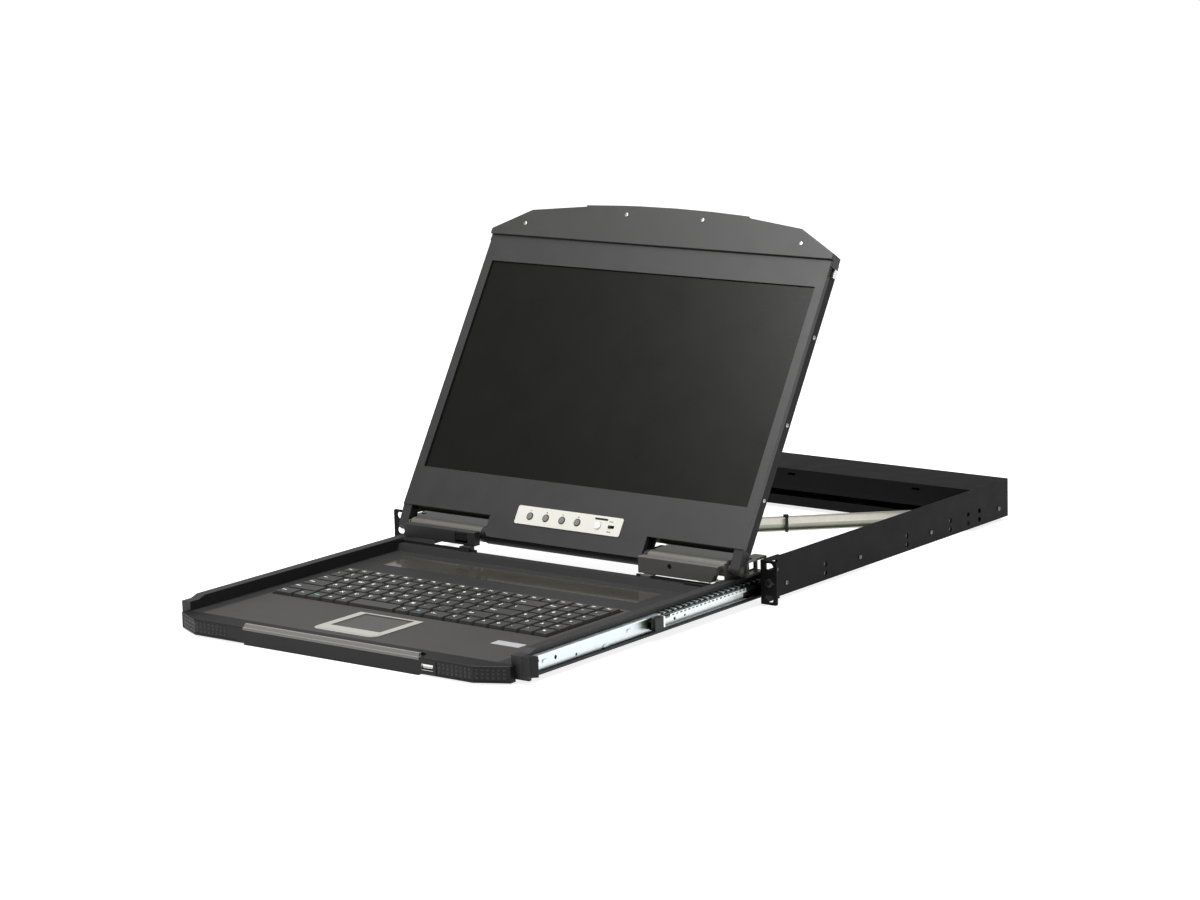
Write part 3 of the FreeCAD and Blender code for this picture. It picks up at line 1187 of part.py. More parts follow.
def flat_pair(label, right):
    """Right and left display pieces, drawn flat, then stood up."""
    keep(f"{label}_right", on_display(group(f"{label}_right_set", [right])))
    keep(f"{label}_left", on_display(group(f"{label}_left_set", [mirrored(f"{label}_left_flat", right)])))


keep("display_bezel", front_bezel())
keep("display_rear_cover", rear_cover())
keep("display_panel", display_panel())
keep("display_handle", display_handle())
flat_pair("hinge_arm", hinge_arm())
flat_pair("side_catch", side_catch())
keep("control_plate", control_plate())
for i, x in enumerate(MENU_BUTTONS, start=1):
    keep(f"menu_button_{i}", push_button(f"menu_{i}", x, "menu_radius"))
keep("power_button", push_button("power", "power_x", "power_radius"))
keep("mode_switch", mode_switch())
keep("display_screws", display_screws())


# ---- cable arm, each link drawn along X from its first pivot ----

def link_channel(name, start, end):
    """Thin channel open towards the pivots' line, beside it."""
    web, near = "-link_wide - 0.5", "-0.5"
    high = "link_low + link_high"
    return join(name, [
        block(f"{name}_web", (start, end), (web, f"{web} + link_thick"), ("link_low", high)),
        block(f"{name}_top", (start, end), (web, near), (f"{high} - link_thick", high)),
        block(f"{name}_low", (start, end), (web, near), ("link_low", "link_low + link_thick"))])


def link_ears(name, pivot, reach, lift):
    """Two eyes about a pivot, joined to the channel; lift moves them inside another link's eyes."""
    high = f"(link_low + link_high - {lift})"
    base = f"(link_low + {lift})"
    eyes = []
    for row, (low_face, top_face) in (("low", (base, f"{base} + link_thick")),
                                      ("top", (f"{high} - link_thick", high))):
        near, far = pivot, f"{pivot} + ({reach})"
        low_x, high_x = (far, near) if reach.startswith("-") else (near, far)
        eyes.append(rod(f"{name}_{row}_eye", "z", (pivot, "0"), "link_pin + 2.5", (low_face, top_face)))
        eyes.append(block(f"{name}_{row}_neck", (low_x, high_x), ("-link_pin - 2.5", "0"),
                          (low_face, top_face)))
    return eyes


def cable_links():
    span = "(arm_rear_y - arm_front_y)"
    angle = math.degrees(math.asin(size_of(f"{span} / 2 / link")))
    elbow = Vector(size_of("arm_x") - size_of("link") * math.cos(math.radians(angle)),
                   size_of("(arm_rear_y + arm_front_y) / 2"), 0)
    hinge = Vector(size_of("arm_x"), size_of("arm_rear_y"), 0)
    rear_stand = Placement(hinge, Rotation(Vector(0, 0, 1), 180 + angle))
    front_stand = Placement(elbow, Rotation(Vector(0, 0, 1), -angle))
    high = "link_low + link_high"

    rear = join("rear_link_solid", [link_channel("rear_link_channel", "10", "link - 14")]
                + link_ears("rear_link_root", "0", "11", "0") + link_ears("rear_link_elbow", "link", "-15", "0"))
    rear = cut("rear_link_drilled", rear, [
        rod("rear_link_bore", "z", ("0", "0"), "link_pin + link_gap", ("link_low - 1", f"{high} + 1"))])
    rear = join("rear_link", [rear, rod("elbow_pin", "z", ("link", "0"), "link_pin", ("link_low", high))])
    rear.Placement = rear_stand
    keep("cable_arm_rear", rear)

    lifted = "(link_thick + link_gap)"
    risers = [block(f"front_link_riser_{i}", ("14", "18"), ("-link_pin - 2.5", "-0.5"), span) for i, span in enumerate(
        (("link_low", f"link_low + {lifted} + link_thick"), (f"{high} - {lifted} - link_thick", high)))]
    front = join("front_link_solid", [link_channel("front_link_channel", "14", "link - 10")] + risers
                 + link_ears("front_link_elbow", "0", "18", lifted) + link_ears("front_link_end", "link", "-11", "0"))
    front = cut("front_link_drilled", front, [
        rod("front_link_bore", "z", ("0", "0"), "link_pin + link_gap", ("link_low - 1", f"{high} + 1"))])
    front = join("front_link", [front, rod("end_pin", "z", ("link", "0"), "link_pin",
                                           ("link_low - 2 - sheet_thick", high))])
    front.Placement = front_stand
    keep("cable_arm_front", front)

    for label, stand in (("cable_tie_rear", rear_stand), ("cable_tie_front", front_stand)):
        near, far = "0.1", "-link_wide - 0.5"
        outer = block(f"{label}_outer", ("tie_at", "tie_at + tie_wide"), (f"{far} - tie_thick", f"{near} + tie_thick"),
                      ("link_low - tie_thick", f"{high} + tie_thick"))
        inner = block(f"{label}_inner", ("tie_at - 1", "tie_at + tie_wide + 1"), (far, near), ("link_low", high))
        head = block(f"{label}_head", ("tie_at - 1", "tie_at + tie_wide + 1"), (f"{far} + 1", f"{far} + 6"),
                     (f"{high} + 0.3", f"{high} + tie_head"))
        strap = join(f"{label}_piece", [cut(f"{label}_loop", outer, [inner]), head])
        strap.Placement = stand
        keep(label, strap)


cable_links()

# ---- check and write ----

doc.recompute()
for item in doc.Objects:
    if "Invalid" in item.State or "Error" in item.State:
        raise RuntimeError(f"{item.Name} failed: {item.State}")
os.makedirs("parts", exist_ok=True)
for label, item in NODES.items():
    shape = item.Shape
    if shape.isNull() or not shape.isValid() or not shape.Solids:
        raise RuntimeError(f"{label} has no valid shape")
    shape.exportStep(f"parts/{label}.step")
    print(f"{label}: {len(shape.Solids)} solids, {shape.Volume:.0f} mm3")
print(len(NODES), "nodes")
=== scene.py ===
# %% [markdown]
# # A rackmount console drawer
#
# The solids of this drawer are ready: chassis, slides, tray, keyboard, hinges and display. This notebook
# gives them their surfaces, and adds what is too small or too soft for a plain solid: rounded keycaps with
# their legends, screw heads, textured grips, sockets and eased edges. Everything is in metres, in the frame
# of the solids, so each piece finds its place from the solid that it sits on.

# %% Tools, frame and size
import json
import math
from functools import reduce

import bmesh
import bpy
import numpy as np
from mathutils import Matrix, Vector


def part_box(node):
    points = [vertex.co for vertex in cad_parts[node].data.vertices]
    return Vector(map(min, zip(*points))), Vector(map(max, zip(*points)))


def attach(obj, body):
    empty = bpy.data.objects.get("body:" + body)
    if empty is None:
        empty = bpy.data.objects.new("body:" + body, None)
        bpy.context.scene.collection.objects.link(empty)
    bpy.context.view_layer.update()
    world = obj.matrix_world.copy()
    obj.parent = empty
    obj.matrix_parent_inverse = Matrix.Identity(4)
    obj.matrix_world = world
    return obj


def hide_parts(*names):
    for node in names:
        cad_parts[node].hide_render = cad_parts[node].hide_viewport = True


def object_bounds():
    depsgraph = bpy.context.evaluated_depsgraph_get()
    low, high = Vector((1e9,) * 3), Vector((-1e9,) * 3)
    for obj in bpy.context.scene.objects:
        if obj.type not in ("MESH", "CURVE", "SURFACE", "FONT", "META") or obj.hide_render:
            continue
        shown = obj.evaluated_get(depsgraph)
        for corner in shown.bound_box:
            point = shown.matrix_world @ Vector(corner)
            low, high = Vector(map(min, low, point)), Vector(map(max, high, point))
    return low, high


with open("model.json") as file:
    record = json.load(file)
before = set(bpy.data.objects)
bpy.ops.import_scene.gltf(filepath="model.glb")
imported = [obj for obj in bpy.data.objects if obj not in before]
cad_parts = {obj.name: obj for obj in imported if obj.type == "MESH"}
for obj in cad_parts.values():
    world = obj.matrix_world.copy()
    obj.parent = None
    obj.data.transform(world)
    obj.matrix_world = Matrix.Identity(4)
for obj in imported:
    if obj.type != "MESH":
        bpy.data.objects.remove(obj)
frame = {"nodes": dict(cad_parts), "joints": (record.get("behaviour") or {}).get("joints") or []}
cad_box = [list(corner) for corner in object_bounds()]
nodes = frame["nodes"]
MM = 0.001

# %% [markdown]
# ## The camera
#
# The drawer is seen from far away through a long lens, which keeps parallel edges nearly parallel. The
# camera stands in front and to the right, a little above the drawer. A Track To constraint could aim it,
# but it can't roll it. A camera looks along its own -Z, so its three axes are written down as the columns
# of a matrix: to the right, up, and backwards.

# %% Camera
AZIMUTH, ELEVATION, ROLL = np.radians([37.62, 11.07, -1.56])
TARGET = np.array([7.87, 30.62, 103.35]) * MM
DISTANCE = 3615.25 * MM
LENS = 108.37

back = np.array([math.sin(AZIMUTH) * math.cos(ELEVATION), -math.cos(AZIMUTH) * math.cos(ELEVATION),
                 math.sin(ELEVATION)])
level = np.array([math.cos(AZIMUTH), math.sin(AZIMUTH), 0.0])
above = np.cross(back, level)
right = level * math.cos(ROLL) + above * math.sin(ROLL)
up = above * math.cos(ROLL) - level * math.sin(ROLL)

camera = bpy.data.objects.new("camera", bpy.data.cameras.new("camera"))
camera.data.lens = LENS
camera.data.clip_end = 100
stand = np.eye(4)
stand[:3, :4] = np.column_stack([right, up, back, TARGET + back * DISTANCE])
camera.matrix_world = Matrix(stand.tolist())
bpy.context.scene.collection.objects.link(camera)
bpy.context.scene.camera = camera
print("camera at", (TARGET + back * DISTANCE).round(3))

# %% [markdown]
# ## Shader maths in plain words
#
# A material in Blender is a graph of nodes, and a graph is slow to write and hard to read. `Value` wraps
# one output socket and overloads the operators, so that a mask or a grain reads like a formula. A mask is 1
# where a finish changes and 0 elsewhere: * keeps what two masks share, and | takes whatever either of them
# covers.

# %% Value
class Value:
    """An output socket that takes part in arithmetic; every operator adds one Math node."""

    def __init__(self, finish, socket):
        self.finish, self.socket = finish, socket

    def maths(self, operation, first, second=0.0):
        """One Math node of the given operation."""
        return self.finish.node("ShaderNodeMath", {"operation": operation}, {0: first, 1: second})

    def __add__(self, other):
        return self.maths("ADD", self, other)

    def __sub__(self, other):
        return self.maths("SUBTRACT", self, other)

    def __rsub__(self, other):
        return self.maths("SUBTRACT", other, self)

    def __mul__(self, other):
        return self.maths("MULTIPLY", self, other)

    def __truediv__(self, other):
        return self.maths("DIVIDE", self, other)

    def __gt__(self, other):
        return self.maths("GREATER_THAN", self, other)

    def __lt__(self, other):
        return self.maths("LESS_THAN", self, other)

    def __or__(self, other):
        return self.maths("MAXIMUM", self, other)

    def __abs__(self):
        return self.maths("ABSOLUTE", self)

    def fraction(self):
        """What is left of a number without its whole part."""
        return self.maths("FRACT", self)

    __radd__ = __add__
    __rmul__ = __mul__


def any_of(masks):
    """1 where at least one of the masks is 1."""
    return reduce(lambda first, second: first | second, masks)


print("a Value answers to + - * / > < | and abs")

# %% [markdown]
# ## A finish
#
# `Finish` holds one material with its Principled shader. Its `node` method makes any other node: settings
# first, then the values or links of its sockets. Patterns read Object coordinates, which are metres here,
# so a grain of a third of a millimetre is written as just that and never depends on how a surface was
# unwrapped.

# %% Finish
class Finish:
    """One material: a Principled shader and the nodes that feed it."""

    names = []  # of every finish, in the order in which they are made

    def __init__(self, name, colour, rough, metal=0.0, shine=0.5, coat=0.0, coat_rough=0.1):
        Finish.names.append(name)
        self.material = bpy.data.materials.new(name)
        self.material.use_nodes = True
        self.tree = self.material.node_tree
        self.shader = next(item for item in self.tree.nodes if item.type == "BSDF_PRINCIPLED")
        for socket, number in {"Base Color": (*colour, 1), "Roughness": rough, "Metallic": metal,
                               "Specular IOR Level": shine, "Coat Weight": coat,
                               "Coat Roughness": coat_rough}.items():
            self.shader.inputs[socket].default_value = number
        self.place = self.node("ShaderNodeTexCoord", {}, {}, "Object")

    def node(self, kind, settings, sockets, output=0):
        """Any node: its settings, then values or links for its sockets; gives the chosen output."""
        made = self.tree.nodes.new(kind)
        for name, setting in settings.items():
            setattr(made, name, setting)
        for name, given in sockets.items():
            if isinstance(given, Value):
                self.tree.links.new(given.socket, made.inputs[name])
            else:
                made.inputs[name].default_value = given
        return Value(self, made.outputs[output])

    def feed(self, socket, value):
        """Lets a value drive one socket of the shader."""
        self.tree.links.new(value.socket, self.shader.inputs[socket])

    def axis(self, letter):
        """One coordinate of the point, in metres."""
        return self.node("ShaderNodeSeparateXYZ", {}, {0: self.place}, letter.upper())

    def noise(self, size, detail, stretch=(1, 1, 1)):
        """Cloudy pattern from 0 to 1 with patches about size metres across, longer along a small stretch."""
        spot = self.node("ShaderNodeMapping", {}, {"Vector": self.place, "Scale": stretch})
        return self.node("ShaderNodeTexNoise", {}, {"Vector": spot, "Scale": 1 / size, "Detail": detail})

    def blend(self, mask, first, second):
        """The first colour where the mask is 0, the second where it is 1."""
        return self.node("ShaderNodeMix", {"data_type": "RGBA"}, {0: mask, 6: first, 7: second}, 2)

    def bump(self, height, depth, strength):
        """Tilts the normal as if the surface rose by the height pattern times the depth."""
        self.feed("Normal", self.node("ShaderNodeBump", {}, {"Strength": strength, "Distance": depth,
                                                             "Height": height}))


def shade(colour, factor):
    """A colour made lighter or darker, as four numbers."""
    return (*[min(1.0, channel * factor) for channel in colour], 1)


print("a grey at half its level:", shade((0.5, 0.5, 0.5), 0.5))

# %% [markdown]
# ## Moulded plastic and powder coat
#
# Most of the drawer is black or charcoal, and what tells its parts apart is texture. Moulded plastic
# carries the fine spark-eroded grain of its mould; powder coat has rounder, larger orange-peel bumps. Both
# are a bump from noise at the real scale, with a faint cloudy change of tone and of roughness that stands
# for handling. An image texture could do the same, but it would need unwrapped surfaces, and noise in
# metres fits every solid as it is.

# %% Moulded finishes
CLOUD, DRIFT_PATCH = 60 * MM, 22 * MM


def moulded(name, colour, rough, grain=0.35 * MM, depth=0.02 * MM, shine=0.35, worn=0.12):
    """Plastic or paint: grain of a real size, and tone and roughness that drift over the surface."""
    finish = Finish(name, colour, rough, shine=shine)
    tone = finish.noise(CLOUD, 4.0) * 0.7 + finish.noise(grain * 1.7, 1.0) * 0.3
    finish.feed("Base Color", finish.blend(tone, shade(colour, 1 - worn), shade(colour, 1 + worn)))
    finish.feed("Roughness", finish.noise(DRIFT_PATCH, 3.0) * 0.14 + (rough - 0.07))
    finish.bump(finish.noise(grain, 2.0), depth, 0.6)
    return finish.material


powder_coat = moulded("powder_coat", (0.0040, 0.0039, 0.0041), 0.5, grain=0.6 * MM, depth=0.03 * MM,
                      shine=0.1)
bezel_plastic = moulded("bezel_plastic", (0.021, 0.0204, 0.0202), 0.40, shine=0.5)
handle_paint = moulded("handle_paint", (0.025, 0.0243, 0.0236), 0.40, shine=0.5)
cover_plastic = moulded("cover_plastic", (0.026, 0.0255, 0.026), 0.5)
pale_cover = moulded("pale_cover", (0.10, 0.098, 0.095), 0.46)
back_paint = moulded("back_paint", (0.0085, 0.0083, 0.0087), 0.55, grain=0.6 * MM, shine=0.2)
pad_plastic = moulded("pad_plastic", (0.062, 0.061, 0.057), 0.5, grain=0.3 * MM)
stud_plastic = moulded("stud_plastic", (0.022, 0.0216, 0.0214), 0.5, grain=0.3 * MM)
dark_plastic = moulded("dark_plastic", (0.008, 0.008, 0.009), 0.4)
key_plastic = moulded("key_plastic", (0.040, 0.0395, 0.037), 0.42, grain=0.25 * MM, shine=0.35)
key_bed = moulded("key_bed", (0.006, 0.006, 0.006), 0.6)
white_plastic = moulded("white_plastic", (0.78, 0.79, 0.78), 0.3, worn=0.03)
legend_ink = moulded("legend_ink", (0.80, 0.81, 0.78), 0.5, worn=0.06)
teal_ink = moulded("teal_ink", (0.20, 0.52, 0.50), 0.5, worn=0.06)
tie_nylon = moulded("tie_nylon", (0.010, 0.010, 0.011), 0.42)
print("moulded finishes:", Finish.names)

# %% [markdown]
# ## Parts of two tones
#
# Three big parts change their tone within one piece. The deck is darker in the raised frame round its
# middle field, and the tray's end blocks are blacker than its walls. The grip in the middle of the front
# moulding is painted pale on its slope, a painted highlight of the light that falls there. Cutting a part
# in two would add a seam, so one material holds both tones, and a mask made from the point's coordinates
# says where the second one lies.

# %% Finishes of two tones
FRONT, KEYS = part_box("front_moulding"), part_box("keyboard_plate")
# half widths of the deck's middle field and of the tray between its walls' outer faces
DECK_FIELD, TRAY_HALF = 181 * MM, 208.3 * MM
# the grip's half width, the height where its slope starts, and how far the slope runs back
GRIP_HALF, GRIP_EDGE, GRIP_DEEP = 108 * MM, -10.2 * MM, 5 * MM


def deck_frame(finish):
    """The deck behind the keys and beside its middle field."""
    return (finish.axis("y") > KEYS[1][1] + 4 * MM) | (abs(finish.axis("x")) > DECK_FIELD)


def end_blocks(finish):
    """Everything outside the tray's walls."""
    return abs(finish.axis("x")) > TRAY_HALF


def grip_slope_highlight(finish):
    """The upper front of the grip, where the pale tone is a painted highlight."""
    ahead = finish.axis("y") < FRONT[0][1] + GRIP_DEEP
    return (finish.axis("z") > GRIP_EDGE) * ahead * (abs(finish.axis("x")) < GRIP_HALF)


def two_tone(name, colour, other, mask, rough, shine, grain, dark=0.88, drift=0.14):
    """Plastic or paint with a cloudy tone, and another tone where the mask is 1."""
    finish = Finish(name, colour, rough, shine=shine)
    tone = finish.blend(finish.noise(CLOUD, 4.0), shade(colour, dark), shade(colour, 1.12))
    finish.feed("Base Color", finish.blend(mask(finish), tone, (*other, 1)))
    finish.feed("Roughness", finish.noise(DRIFT_PATCH, 3.0) * drift + (rough - drift / 2))
    finish.bump(finish.noise(grain, 2.0), 0.02 * MM, 0.6)
    return finish.material


palm_plastic = two_tone("palm_plastic", (0.040, 0.0385, 0.036), (0.014, 0.0135, 0.014), deck_frame,
                        rough=0.52, shine=0.3, grain=0.45 * MM, dark=0.9, drift=0.12)
tray_paint = two_tone("tray_paint", (0.021, 0.0205, 0.0205), (0.005, 0.005, 0.0055), end_blocks,
                      rough=0.46, shine=0.32, grain=0.5 * MM)
# the grip's slope is painted pale: a painted highlight of the light on the slope
moulding_plastic = two_tone("moulding_plastic", (0.0085, 0.0083, 0.0085), (0.20, 0.197, 0.186), grip_slope_highlight,
                            rough=0.44, shine=0.24, grain=0.35 * MM)
print("keys end at", round(KEYS[1][1], 4), "and the moulding starts at", round(FRONT[0][1], 4))

# %% [markdown]
# ## Grease and painted shade on the slides
#
# The slides are darker in some places. Along their lower lips the dark is painted shade, the shadow that
# falls under the rails. The middle rail is darker at both ends, and the ball strip is greased dark, so
# that the gaps of the cage show as pale bars. Each place is a mask that is made from the point's
# coordinates, and a few small functions write it, because several metals use the same ones. Painting it
# by hand would need unwrapped rails.

# %% Grease and shade masks
ARM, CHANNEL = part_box("cable_arm_rear"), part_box("drawer_channel_right")
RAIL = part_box("middle_rail_right")
LIP, ARM_EDGE = 1.6 * MM, 1 * MM
# the bars of the ball strip: their pitch and the pale share of it, and where the strip lies
BAR_PITCH, BAR_GAP = 8.6 * MM, 0.42
STRIP_START, STRIP_HIGH = RAIL[0][1] + 14 * MM, CHANNEL[1][2] - 3.5 * MM
# the stretch of the middle rail that is free of grease
CLEAN_START, CLEAN_END = RAIL[0][1] + 13 * MM, RAIL[0][1] + 147 * MM


def below(height):
    """Mask of all that is lower than a height."""
    return lambda finish: finish.axis("z") < height


def ahead_of(place):
    """Mask of all that is nearer to the front than a place."""
    return lambda finish: finish.axis("y") < place


def behind(place):
    """Mask of all that is further back than a place."""
    return lambda finish: finish.axis("y") > place


def ball_strip(height, place):
    """Dark bars above a height and behind a place: the fraction of y / pitch is past the pale gap."""
    return lambda finish: ((finish.axis("z") > height) * (finish.axis("y") > place)
                           * ((finish.axis("y") / BAR_PITCH).fraction() > BAR_GAP))


print("the middle rail starts at", round(RAIL[0][1], 4), "and its bars repeat every", BAR_PITCH)

# %% [markdown]
# ## Metals
#
# The slides are zinc plated: a cool white metal with a soft patchy spangle and faint drawing lines along
# the rail. The cable arm is bright pressed steel with a warm cast, painted a little darker below its
# middle as painted shade.
# Screws are plain steel. A line pattern is noise that is stretched along one axis; the shader's own
# anisotropy could stretch the reflections instead, but it shows no single line.

# %% Metal finishes
def metal(name, colour, rough=0.36, patch=9 * MM, lines=(1, 0.02, 1), contrast=0.16, grease_and_shade=(), dark=None):
    """Metal with patches of a slightly different tone and fine lines along one axis, dark where one of its
    masks is 1: greased places, and places of painted shade."""
    finish = Finish(name, colour, rough, metal=1.0)
    patches = finish.noise(patch, 2.0)
    strokes = finish.noise(0.5 * MM, 3.0, lines)
    tone = finish.blend(patches * 0.65 + strokes * 0.35, shade(colour, 1 - contrast),
                        shade(colour, 1 + contrast))
    if grease_and_shade:
        tone = finish.blend(any_of([mask(finish) for mask in grease_and_shade]), tone, (*dark, 1))
    finish.feed("Base Color", tone)
    finish.feed("Roughness", strokes * 0.22 + patches * 0.1 + (rough - 0.16))
    finish.bump(strokes, 0.01 * MM, 0.5)
    return finish.material


zinc = metal("zinc_plate", (0.64, 0.70, 0.71))
# the channel's lower lip is painted dark as painted shade; the dark bars of the ball strip are greased
channel_zinc = metal("channel_zinc", (0.63, 0.69, 0.70), dark=(0.03, 0.032, 0.032),
                     grease_and_shade=[below(CHANNEL[0][2] + LIP), ball_strip(STRIP_HIGH, STRIP_START)])
# the rail's lower lip is painted dark as painted shade, and the rail is darker at both ends
rail_zinc = metal("rail_zinc", (0.66, 0.70, 0.70), dark=(0.03, 0.033, 0.03),
                  grease_and_shade=[below(RAIL[0][2] + LIP), behind(CLEAN_END), ahead_of(CLEAN_START)])
# the chassis channel's lower lip is painted dark as painted shade
chassis_zinc = metal("chassis_zinc", (0.10, 0.105, 0.11), dark=(0.03, 0.03, 0.032),
                     grease_and_shade=[below(CHANNEL[0][2] + LIP)])
# the cable arm's lower half is painted darker: painted shade, where the light from above doesn't reach
bright_steel = metal("bright_steel", (0.76, 0.735, 0.65), dark=(0.46, 0.465, 0.39),
                     grease_and_shade=[below((ARM[0][2] + ARM[1][2]) / 2 - ARM_EDGE)])
screw_steel = metal("screw_steel", (0.44, 0.44, 0.43), rough=0.3, patch=2 * MM, lines=(1, 1, 1))
dull_steel = metal("dull_steel", (0.20, 0.20, 0.20), rough=0.35, patch=2 * MM, lines=(1, 1, 1))
socket_tin = metal("socket_tin", (0.72, 0.71, 0.66), 0.28, patch=6 * MM, lines=(0.05, 1, 1), contrast=0.08)
print("metals:", Finish.names[-8:])

# %% [markdown]
# ## Silver paint, gloss black and glass
#
# The touchpad's surround and the control plate are plastic with a satin silver paint, so they are pale and
# only faintly sparkling, not real metal. The strip behind the keys is gloss black. The screen is an
# anti-glare panel: nearly black, with a soft wide reflection. Real glass would show what lies behind it,
# and nothing does here, so a dark plain surface does the same with less noise.

# %% Paint, gloss and screen
def silver(name, colour):
    """Satin paint: fine flakes and a cloud share the change of tone, and the flakes change the roughness."""
    finish = Finish(name, colour, 0.38, metal=0.15, shine=0.5)
    flake = finish.noise(0.25 * MM, 1.0)
    cloud = finish.noise(25 * MM, 3.0)
    finish.feed("Base Color", finish.blend(flake * 0.5 + cloud * 0.5, shade(colour, 0.9), shade(colour, 1.1)))
    finish.feed("Roughness", flake * 0.16 + 0.3)
    return finish.material


def glossy(name, colour, rough, coat, shine=0.5):
    """Smooth plastic under a clear coat, with a faint haze and a very long wave in its surface."""
    finish = Finish(name, colour, rough, shine=shine, coat=coat, coat_rough=0.04)
    haze = finish.noise(35 * MM, 4.0)
    finish.feed("Base Color", finish.blend(haze, shade(colour, 0.9), shade(colour, 1.12)))
    finish.feed("Roughness", haze * 0.06 + (rough - 0.03))
    finish.bump(finish.noise(70 * MM, 1.0), 0.05 * MM, 0.2)
    return finish.material


silver_paint = silver("silver_paint", (0.74, 0.725, 0.66))
frame_paint = silver("frame_paint", (0.40, 0.39, 0.355))
button_paint = silver("button_paint", (0.20, 0.20, 0.19))
label_foil = silver("label_foil", (0.42, 0.42, 0.43))
gloss_black = glossy("gloss_black", (0.058, 0.057, 0.046), 0.14, coat=1.0)
# the barrels are black plastic; their grey base colour is a painted sheen of the light on their upper faces,
# added to the real reflection of the clear coat
barrel_gloss_painted_sheen = glossy("barrel_gloss_painted_sheen", (0.105, 0.102, 0.090), 0.3, coat=0.35)
screen_glass = glossy("screen_glass", (0.0030, 0.0033, 0.0022), 0.28, coat=0.0, shine=0.25)
print("finishes so far:", len(Finish.names))

# %% [markdown]
# ## The board and its sockets
#
# The controller board and its six rear sockets are one node. The board is green lacquer; the sockets are
# pale shells that end in a dark opening. An opening is a rectangle on the rear face: the point lies within
# half the width less the rim across, and within half the height less the rim up. Six more pieces would show
# no more.

# %% Board and sockets
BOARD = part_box("controller_board")
# middle across, width and height of each socket
SOCKETS = np.array([(-160, 28, 20), (-80, 38, 11), (-20, 31, 12.5),
                    (40, 31, 12.5), (95, 16, 13), (130, 13, 15)]) * MM
SOCKET_FOOT, SOCKET_RIM, SOCKET_DEEP = -13.4 * MM, 1.3 * MM, 18.5 * MM


def board_finish(name, lacquer, shell, opening):
    """Green board; each socket (middle, width, height) is a pale shell with a dark opening in its rear."""
    finish = Finish(name, lacquer, 0.4)
    x, y, z = (finish.axis(letter) for letter in "xyz")
    openings = [(abs(x - middle) < wide / 2 - SOCKET_RIM)
                * (abs(z - (SOCKET_FOOT + high / 2)) < high / 2 - SOCKET_RIM)
                for middle, wide, high in SOCKETS]
    rear_face = y > BOARD[1][1] - 1 * MM
    sockets = finish.blend(any_of(openings) * rear_face, (*shell, 1), (*opening, 1))
    finish.feed("Base Color", finish.blend(y > BOARD[1][1] - SOCKET_DEEP, shade(lacquer, 1), sockets))
    finish.feed("Roughness", finish.noise(8 * MM, 2.0) * 0.1 + 0.33)
    return finish.material


board_lacquer = board_finish("board_lacquer", (0.02, 0.10, 0.045), (0.42, 0.42, 0.40), (0.006, 0.006, 0.007))
print("sockets:", len(SOCKETS))

# %% [markdown]
# ## Which node gets which finish
#
# The solids keep their shapes, so most of them need only a material. A line of code for each solid would
# hide which parts belong together, so a table from finish to nodes says it.

# %% Finishes of the solids
KEY_ROWS = [f"key_row_{row}" for row in ("function", "numbers", "upper", "home", "lower", "bottom")]
KEY_ROWS.append("space_bar")


def both(name):
    """The names of a right and a left node."""
    return [f"{name}_right", f"{name}_left"]


FINISHES = {
    powder_coat: [*both("rack_ear"), *both("side_panel"), "rear_box_base", "rear_box_cover"],
    tray_paint: ["tray"],
    bezel_plastic: ["display_bezel"],
    handle_paint: ["display_handle"],
    cover_plastic: ["hinge_cover_left", *both("hinge_arm")],
    pale_cover: ["hinge_cover_right"],
    back_paint: ["display_rear_cover"],
    moulding_plastic: ["front_moulding"],
    palm_plastic: ["palm_rest"],
    pad_plastic: ["touchpad"],
    dark_plastic: ["catch_tab", "mode_switch", "chassis_screws"],
    key_bed: ["keyboard_plate"],
    key_plastic: KEY_ROWS,
    channel_zinc: both("drawer_channel"),
    rail_zinc: both("middle_rail"),
    chassis_zinc: both("chassis_channel"),
    zinc: [*both("outer_ball_cage"), *both("inner_ball_cage")],
    bright_steel: ["cable_arm_rear", "cable_arm_front"],
    tie_nylon: ["cable_tie_rear", "cable_tie_front"],
    silver_paint: ["control_plate"],
    frame_paint: ["touchpad_frame", "touchpad_button_left", "touchpad_button_right"],
    button_paint: [f"menu_button_{i}" for i in range(1, 5)],
    white_plastic: ["power_button"],
    socket_tin: ["usb_socket", *both("side_catch")],
    screw_steel: ["display_screws"],
    gloss_black: ["status_strip"],
    barrel_gloss_painted_sheen: both("hinge_bracket"),
    screen_glass: ["display_panel"],
    board_lacquer: ["controller_board"],
}
print("finishes in the table:", len(FINISHES))

# %% [markdown]
# ## Dressing the solids
#
# A finish can sit on a mesh or on its object. The slots of a solid are there already, so each of them gets
# the finish and the mesh stays as it is. The last line prints any node that the table has forgotten.

# %% Dressed solids
def give(node, material):
    """Set the material in every slot of a solid's object; its mesh stays as it is."""
    item = nodes[node]
    if not item.material_slots:
        item.data.materials.append(material)
    for slot in item.material_slots:
        slot.material = material


for material, names in FINISHES.items():
    for name in names:
        give(name, material)
print("without a finish:", sorted(set(nodes) - {name for names in FINISHES.values() for name in names}))

# %% [markdown]
# ## Surfaces as arrays
#
# Every added piece is a closed skin: rings of points stacked one over another, computed as whole arrays.
# `Skin` keeps points, quads and end faces, joins with +, and stands in any frame. That is quicker than
# modelling operators and says exactly what the shape is.

